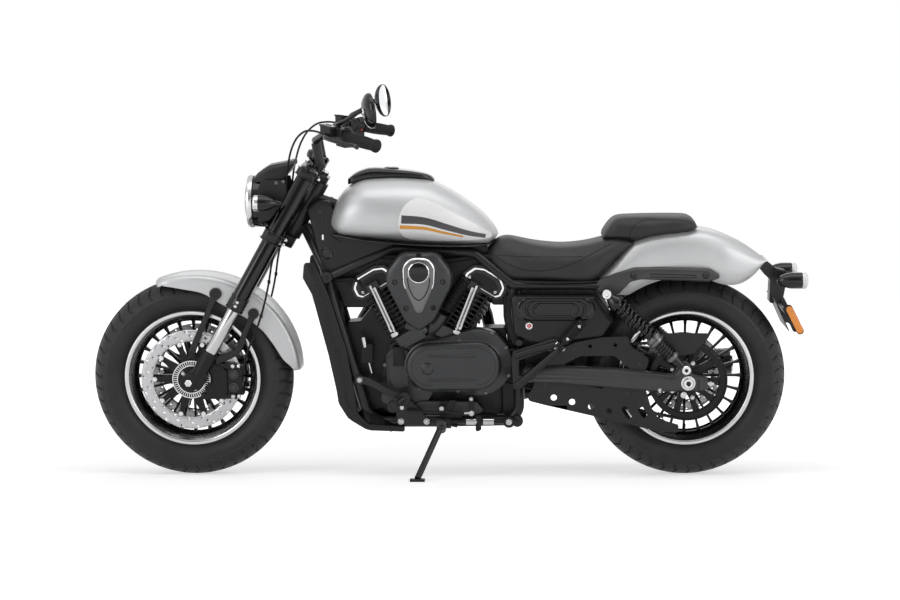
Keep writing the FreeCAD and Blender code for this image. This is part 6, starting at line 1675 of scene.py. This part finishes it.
def make_belt():
    """Teeth on the belt's straight runs, and the plates that guard it."""
    front, rear = at(150, -92, 372), at(790, -92, 322)
    small, large = 42.6, 122.2
    span = rear - front
    tilt, swing = math.atan2(span.z, span.x), math.asin((large - small) / span.length)
    teeth, upper, lower, bolts = shapes(4)
    for sign in (1, -1):
        angle = tilt + sign * (math.pi / 2 + swing)
        out = at(math.cos(angle), 0, math.sin(angle))
        a, b = front + out * small, rear + out * large
        way = (b - a).normalized()
        for k in range(1, int((b - a).length / 11)):
            teeth.box((4.4, 23, 3), a + way * (k * 11) + out * 0.4, Matrix((way, Y, out)).transposed())
    teeth.done("belt_teeth", "root", "rubber")
    place = at(0, -117, 0)
    pierced(upper, [(398, 432, 20), (430, 448, 20), (516, 465, 30), (602, 468, 10), (606, 438, 16),
            (668, 396, 14), (658, 360, 10), (610, 362, 14), (556, 406, 18), (450, 405, 20), (402, 380, 10),
            (380, 350, 8), (330, 350, 8), (340, 380, 8), (368, 400, 8)],
            [round_hole(480, 436, 6), round_hole(560, 440, 6)], place, X, Z, 3.4)
    pierced(lower, [(318, 346, 8), (372, 336, 8), (400, 322, 12), (520, 300, 16), (552, 322, 16),
            (655, 306, 20), (676, 236, 20), (720, 196, 30), (763, 183, 6), (762, 157, 8), (694, 162, 40),
            (609, 184, 40), (472, 216, 60), (342, 246, 40), (280, 262, 12)],
            [round_hole(366, 271, 10), round_hole(424, 257, 10), round_hole(484, 242, 9),
            round_hole(542, 228, 9), [(578, 236, 8), (594, 246, 8), (618, 208, 8), (602, 200, 8)],
            [(632, 232, 3), (648, 242, 3), (664, 212, 3), (650, 204, 3)],
            [(700, 224, 6), (716, 212, 6), (712, 200, 6), (692, 208, 6)]], place, X, Z, 3.4)
    upper.slab([(690, 446, 16), (704, 478, 12), (850, 478, 6), (858, 468, 6), (806, 412, 16), (722, 398, 16)],
            place, X, Z, 3.4)
    for x, z in ((637, 377), (339, 312), (599, 286), (430, 428), (660, 262)):
        bolts.bolt(at(x, -117, z), -Y, 5.5, 4)
    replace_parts(upper.done("upper_belt_guard", "root", "frame_black", bevel=0.8, smooth=30), "belt_guards")
    lower.done("lower_belt_guard", "root", "frame_black", bevel=0.8, smooth=30)
    bolts.done("belt_guard_bolts", "root", "engine_grey")
    rail = Shape().pipe([at(x, -118.5, z) for x, z in ((332, 282), (380, 282), (500, 252), (560, 262),
            (640, 272))], 1.5, 8, 8)
    rail.done("belt_guard_rib", "root", "frame_black")


def make_pegs():
    """Passenger pegs on their V brackets."""
    brackets, pins = shapes(2)
    hinge, rest = at(0.74, 0, -0.68).normalized(), at(0.68, 0, 0.74).normalized()
    for side, tag in ((-1, "left"), (1, "right")):
        out, body = Y * side, "passenger_peg_%s_body" % tag
        pierced(brackets, [(232, 396, 8), (236, 426, 8), (362, 468, 14), (396, 462, 14), (404, 430, 14),
                (372, 412, 12), (264, 310, 8), (238, 304, 8)],
                [[(254, 398, 6), (346, 430, 8), (356, 422, 6), (272, 350, 8), (254, 346, 6)]],
                at(0, side * 150.3, 0), X, Z, -10 * side)
        for line in (((244, 160, 411), (300, 162, 430), (372, 164, 450)),
                ((250, 160, 320), (300, 161, 364), (380, 164, 434))):
            brackets.pipe(mirrored(side, line), [10, 9, 10], 14, 6)
        pivot = at(384, side * 178, 446)
        for end in (-10.8, 10.8):
            spot = pivot + hinge * end
            brackets.drum(spot, hinge, 11, 4, 2, 2, 28)
            brackets.rod(spot, at(spot.x, side * 156, spot.z), 6)
        pins.lathe([(0, -17), (6, -17), (7, -15), (4, -14), (4, 14), (7, 15), (6, 17), (0, 17)],
                pivot, hinge, 20)
        pins.bolt(at(372, side * 164, 436), out, 5, 4)
        peg = Shape().lathe([(0, 16), (11, 17), (13, 20)] + ribs(23, 10, 7.2, 15.2, 13, 3.6, 2.2)
                            + [(15.5, 96), (15.5, 101), (12, 104), (0, 105)], pivot, rest, 30)
        peg.rod(pivot, pivot + rest * 20, 7)
        peg.lathe([(0, -7), (9, -7), (9, 7), (0, 7)], pivot, hinge, 24)
        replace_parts(peg.done("peg_rubber_" + tag, body, "rubber", smooth=40), "passenger_peg_" + tag)
        ends = Shape()
        for along in (88, 34):
            ends.bolt(pivot + rest * along + out * 13.6, out, 4, 2.5)
        ends.done("peg_screws_" + tag, body, "zinc")
    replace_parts(brackets.done("peg_brackets", "root", "frame_black", bevel=1.2, smooth=35),
            "passenger_peg_brackets")
    pins.done("peg_pins", "root", "zinc")


def make_side_stand():
    """The stand's return spring."""
    start, end = at(6, -162, 172), at(-28, -218, 104)
    spring = Shape().coil(start, (end - start).normalized(), 8, (end - start).length - 8, 5, 1.1, 14, 12, 6)
    spring.done("side_stand_spring", "side_stand", "zinc", smooth=70)


# ---------------------------------------------------------------- tail
def make_tail():
    """Bracket under the fender's end, with the indicators, plate holder, tail lamp and reflectors."""
    bracket, bodies, lenses = shapes(3)
    tilt = Matrix.Rotation(math.radians(-25), 3, "Y")
    bracket.slab([(1016, 704, 4), (1034, 706, 4), (1076, 672, 14), (1110, 664, 8), (1112, 640, 8),
            (1098, 560, 8), (1056, 560, 8), (1058, 636, 14), (1040, 652, 14), (1014, 684, 4)],
            Y * 26, X, Z, 52)
    bracket.box((8, 196, 20), REAR + at(316, 0, 214), tilt)
    bracket.rod(REAR + at(300, -118, 324), REAR + at(300, 118, 324), 9, steps=24)
    bracket.box((30, 60, 40), at(1086, 0, 646))
    for side in (-1, 1):
        bracket.slab([(-14, -46, 10), (12, -46, 10), (14, 46, 12), (-14, 46, 12)],
                REAR + at(330, side * 90, 200), tilt @ X, tilt @ Z, 6 * -side)
        body = REAR + at(290, side * 120, 324)
        bodies.lathe([(0, -14), (9, -10), (16, 0), (22, 14), (25.5, 30), (26, 42), (26, 62), (25, 66),
                (0, 66)], body, X, 44)
        lenses.lathe([(25, 66), (26, 68), (26, 76), (24, 80), (16, 83.5), (0, 85)], body, X, 44)
        make_reflector(side)
    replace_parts(bracket.done("tail_hanger", "root", "frame_black", bevel=1.5, smooth=35), "tail_bracket")
    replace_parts(bodies.done("rear_indicator_bodies", "root", "gloss_black", smooth=45), "rear_indicators")
    lenses.done("rear_indicator_lenses", "root", "white_mark", smooth=50)
    holder = Shape().box((3, 196, 112), REAR + at(292, 0, 208) + tilt @ at(6, 0, 0), tilt)
    holder.done("plate_holder", "root", "black_plastic", bevel=1.2)
    lamp = Shape().slab([(-24, -9, 8), (24, -9, 8), (24, 9, 8), (-24, 9, 8)], at(1104, 0, 652), Y, Z, 8)
    lamp.done("tail_lamp", "root", "red_switch", bevel=2, smooth=60)


def make_reflector(side):
    """Amber reflector with rounded ends, in a black holder."""
    tag = "left" if side < 0 else "right"
    tilt = Matrix.Rotation(math.radians(-27), 3, "Y")
    outline = rounded([(-11, -48, 10.9), (11, -48, 10.9), (11, 48, 10.9), (-11, 48, 10.9)])
    place = (outline, REAR + at(338, side * 98, 196), tilt @ X, tilt @ Z, Y * side)
    face = dished(Shape(), *place, ((0, 0), (0, 5), (0.06, 7), (0.2, 7.6)))
    back = dished(Shape(), *place, ((-0.08, -4), (-0.08, 2), (-0.02, 3)))
    piece = face.done("reflector_" + tag, "root", "orange_reflector", smooth=30)
    if side < 0:
        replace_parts(piece, "reflectors")
    back.done("reflector_holder_" + tag, "root", "black_plastic", smooth=30)


def make_rear_brake():
    """The rear caliper's two piston caps."""
    caps = Shape()
    for shift in (-0.16, 0.16):
        turn = -(math.radians(-170) + shift)
        caps.lathe([(0, 6), (8, 6), (10, 4), (14, 4), (15.5, 1), (15.5, -4), (0, -4)],
                around(REAR, 112, turn, 99), Y, 28)
    caps.done("rear_caliper_caps", "root", "engine_grey")


make_frame()
make_head_covers()
make_radiator_cowl()
make_side_covers()
make_swingarm()
make_shocks()
make_belt()
make_pegs()
make_side_stand()
make_tail()
make_rear_brake()


# ---------------------------------------------------------------- camera, light and floor
def make_camera():
    """Camera at lamp height, square to the left side; the distance is in millimetres."""
    distance, focal, sensor = 6500, 80.0, 36.0
    spot = bpy.data.cameras.new("camera")
    camera = bpy.data.objects.new("camera", spot)
    bpy.context.scene.collection.objects.link(camera)
    spot.lens, spot.sensor_width = focal, sensor
    spot.shift_x, spot.shift_y = -0.0652, -0.0161
    spot.clip_end = 100
    ground = PARKED @ at(223, 0, 0)
    camera.location = (ground.x, ground.y - distance * MM, 0.608)
    camera.rotation_euler = (math.radians(90), 0, 0)
    bpy.context.scene.camera = camera


def softbox(name, place, target, size, power):
    """Rectangular light that looks at a target; its power is in watts."""
    light = bpy.data.lights.new(name, "AREA")
    light.shape, light.size, light.size_y, light.energy = "RECTANGLE", size[0], size[1], power
    holder = bpy.data.objects.new(name, light)
    bpy.context.scene.collection.objects.link(holder)
    holder.location = place
    holder.rotation_euler = (Vector(target) - Vector(place)).to_track_quat("-Z", "Y").to_euler()


def seen_directly(tree):
    """One where the camera, a mirror or a glass looks, and nought for other light."""
    path = tree.nodes.new("ShaderNodeLightPath")
    total = path.outputs["Is Camera Ray"]
    for ray in ("Is Glossy Ray", "Is Transmission Ray"):
        total = joined(tree, "MAXIMUM", total, path.outputs[ray])
    return total


def spread(tree, value, low, high, to_low, to_high):
    """The value's range from low to high, drawn out to another range."""
    level = tree.nodes.new("ShaderNodeMapRange")
    for socket, number in (("From Min", low), ("From Max", high), ("To Min", to_low), ("To Max", to_high)):
        level.inputs[socket].default_value = number
    tree.links.new(value, level.inputs["Value"])
    return level.outputs["Result"]


def joined(tree, operation, first, second):
    """Two values, or sockets that give them, put through a calculation."""
    node = tree.nodes.new("ShaderNodeMath")
    node.operation = operation
    for socket, value in zip(node.inputs, (first, second)):
        if isinstance(value, (int, float)):
            socket.default_value = value
        else:
            tree.links.new(value, socket)
    return node.outputs[0]


def room_light(tree):
    """White to the camera; plain light on the object; mirrors also see the room's dim long walls."""
    place = tree.nodes.new("ShaderNodeTexCoord")
    parts = tree.nodes.new("ShaderNodeSeparateXYZ")
    tree.links.new(place.outputs["Generated"], parts.inputs[0])
    along = spread(tree, joined(tree, "ABSOLUTE", parts.outputs["X"], 0), 0.15, 0.6, 0.2, 1)
    above = spread(tree, parts.outputs["Z"], 0.3, 0.75, 0.2, 1)
    walls = joined(tree, "MAXIMUM", along, above)
    path = tree.nodes.new("ShaderNodeLightPath")
    plain = spread(tree, path.outputs["Is Camera Ray"], 0, 1, 0.3, 1)
    glossy = joined(tree, "MULTIPLY", path.outputs["Is Glossy Ray"], walls)
    return joined(tree, "MAXIMUM", joined(tree, "MAXIMUM", plain, glossy),
            path.outputs["Is Transmission Ray"])


def make_studio():
    """White room, softboxes and a floor that fades into the background."""
    world = bpy.data.worlds.new("studio")
    bpy.context.scene.world = world
    world.use_nodes = True
    background = world.node_tree.nodes["Background"]
    background.inputs["Color"].default_value = (1, 1, 1, 1)
    world.node_tree.links.new(room_light(world.node_tree), background.inputs["Strength"])
    for name, place, along, size, power in (
            ("overhead", (0.1, -0.9, 3.2), 0, (4.2, 1.4), 34),
            ("front_left", (-3.4, -3.2, 1.8), -0.4, (1.6, 2.4), 44),
            ("rear_left", (3.4, -3.0, 1.8), 0.5, (1.6, 2.4), 40),
            ("far_side", (0, 3.4, 2.4), 0, (4.0, 1.6), 24)):
        softbox(name, place, (along, 0, 0.6), size, power)
    half = 60
    data = bpy.data.meshes.new("floor")
    data.from_pydata([(i * half, j * half, 0) for i, j in CORNERS], [], [(0, 1, 2, 3)])
    floor = bpy.data.objects.new("floor", data)
    bpy.context.scene.collection.objects.link(floor)
    paint = bpy.data.materials.new("floor_paint")
    paint.use_nodes = True
    tree = paint.node_tree
    shader = tree.nodes["Principled BSDF"]
    for socket, value in (("Base Color", (0.8, 0.8, 0.8, 1)), ("Roughness", 0.8), ("Specular IOR Level", 0.1),
                          ("Emission Color", (1, 1, 1, 1))):
        shader.inputs[socket].default_value = value
    place = tree.nodes.new("ShaderNodeNewGeometry")
    distance = tree.nodes.new("ShaderNodeVectorMath")
    distance.operation = "LENGTH"
    tree.links.new(place.outputs["Position"], distance.inputs[0])
    glow = joined(tree, "MULTIPLY", seen_directly(tree),
            spread(tree, distance.outputs["Value"], 1.3, 3.5, 0.5, 1))
    tree.links.new(glow, shader.inputs["Emission Strength"])
    data.materials.append(paint)


make_camera()
make_studio()
bpy.context.scene.view_settings.view_transform = "Standard"
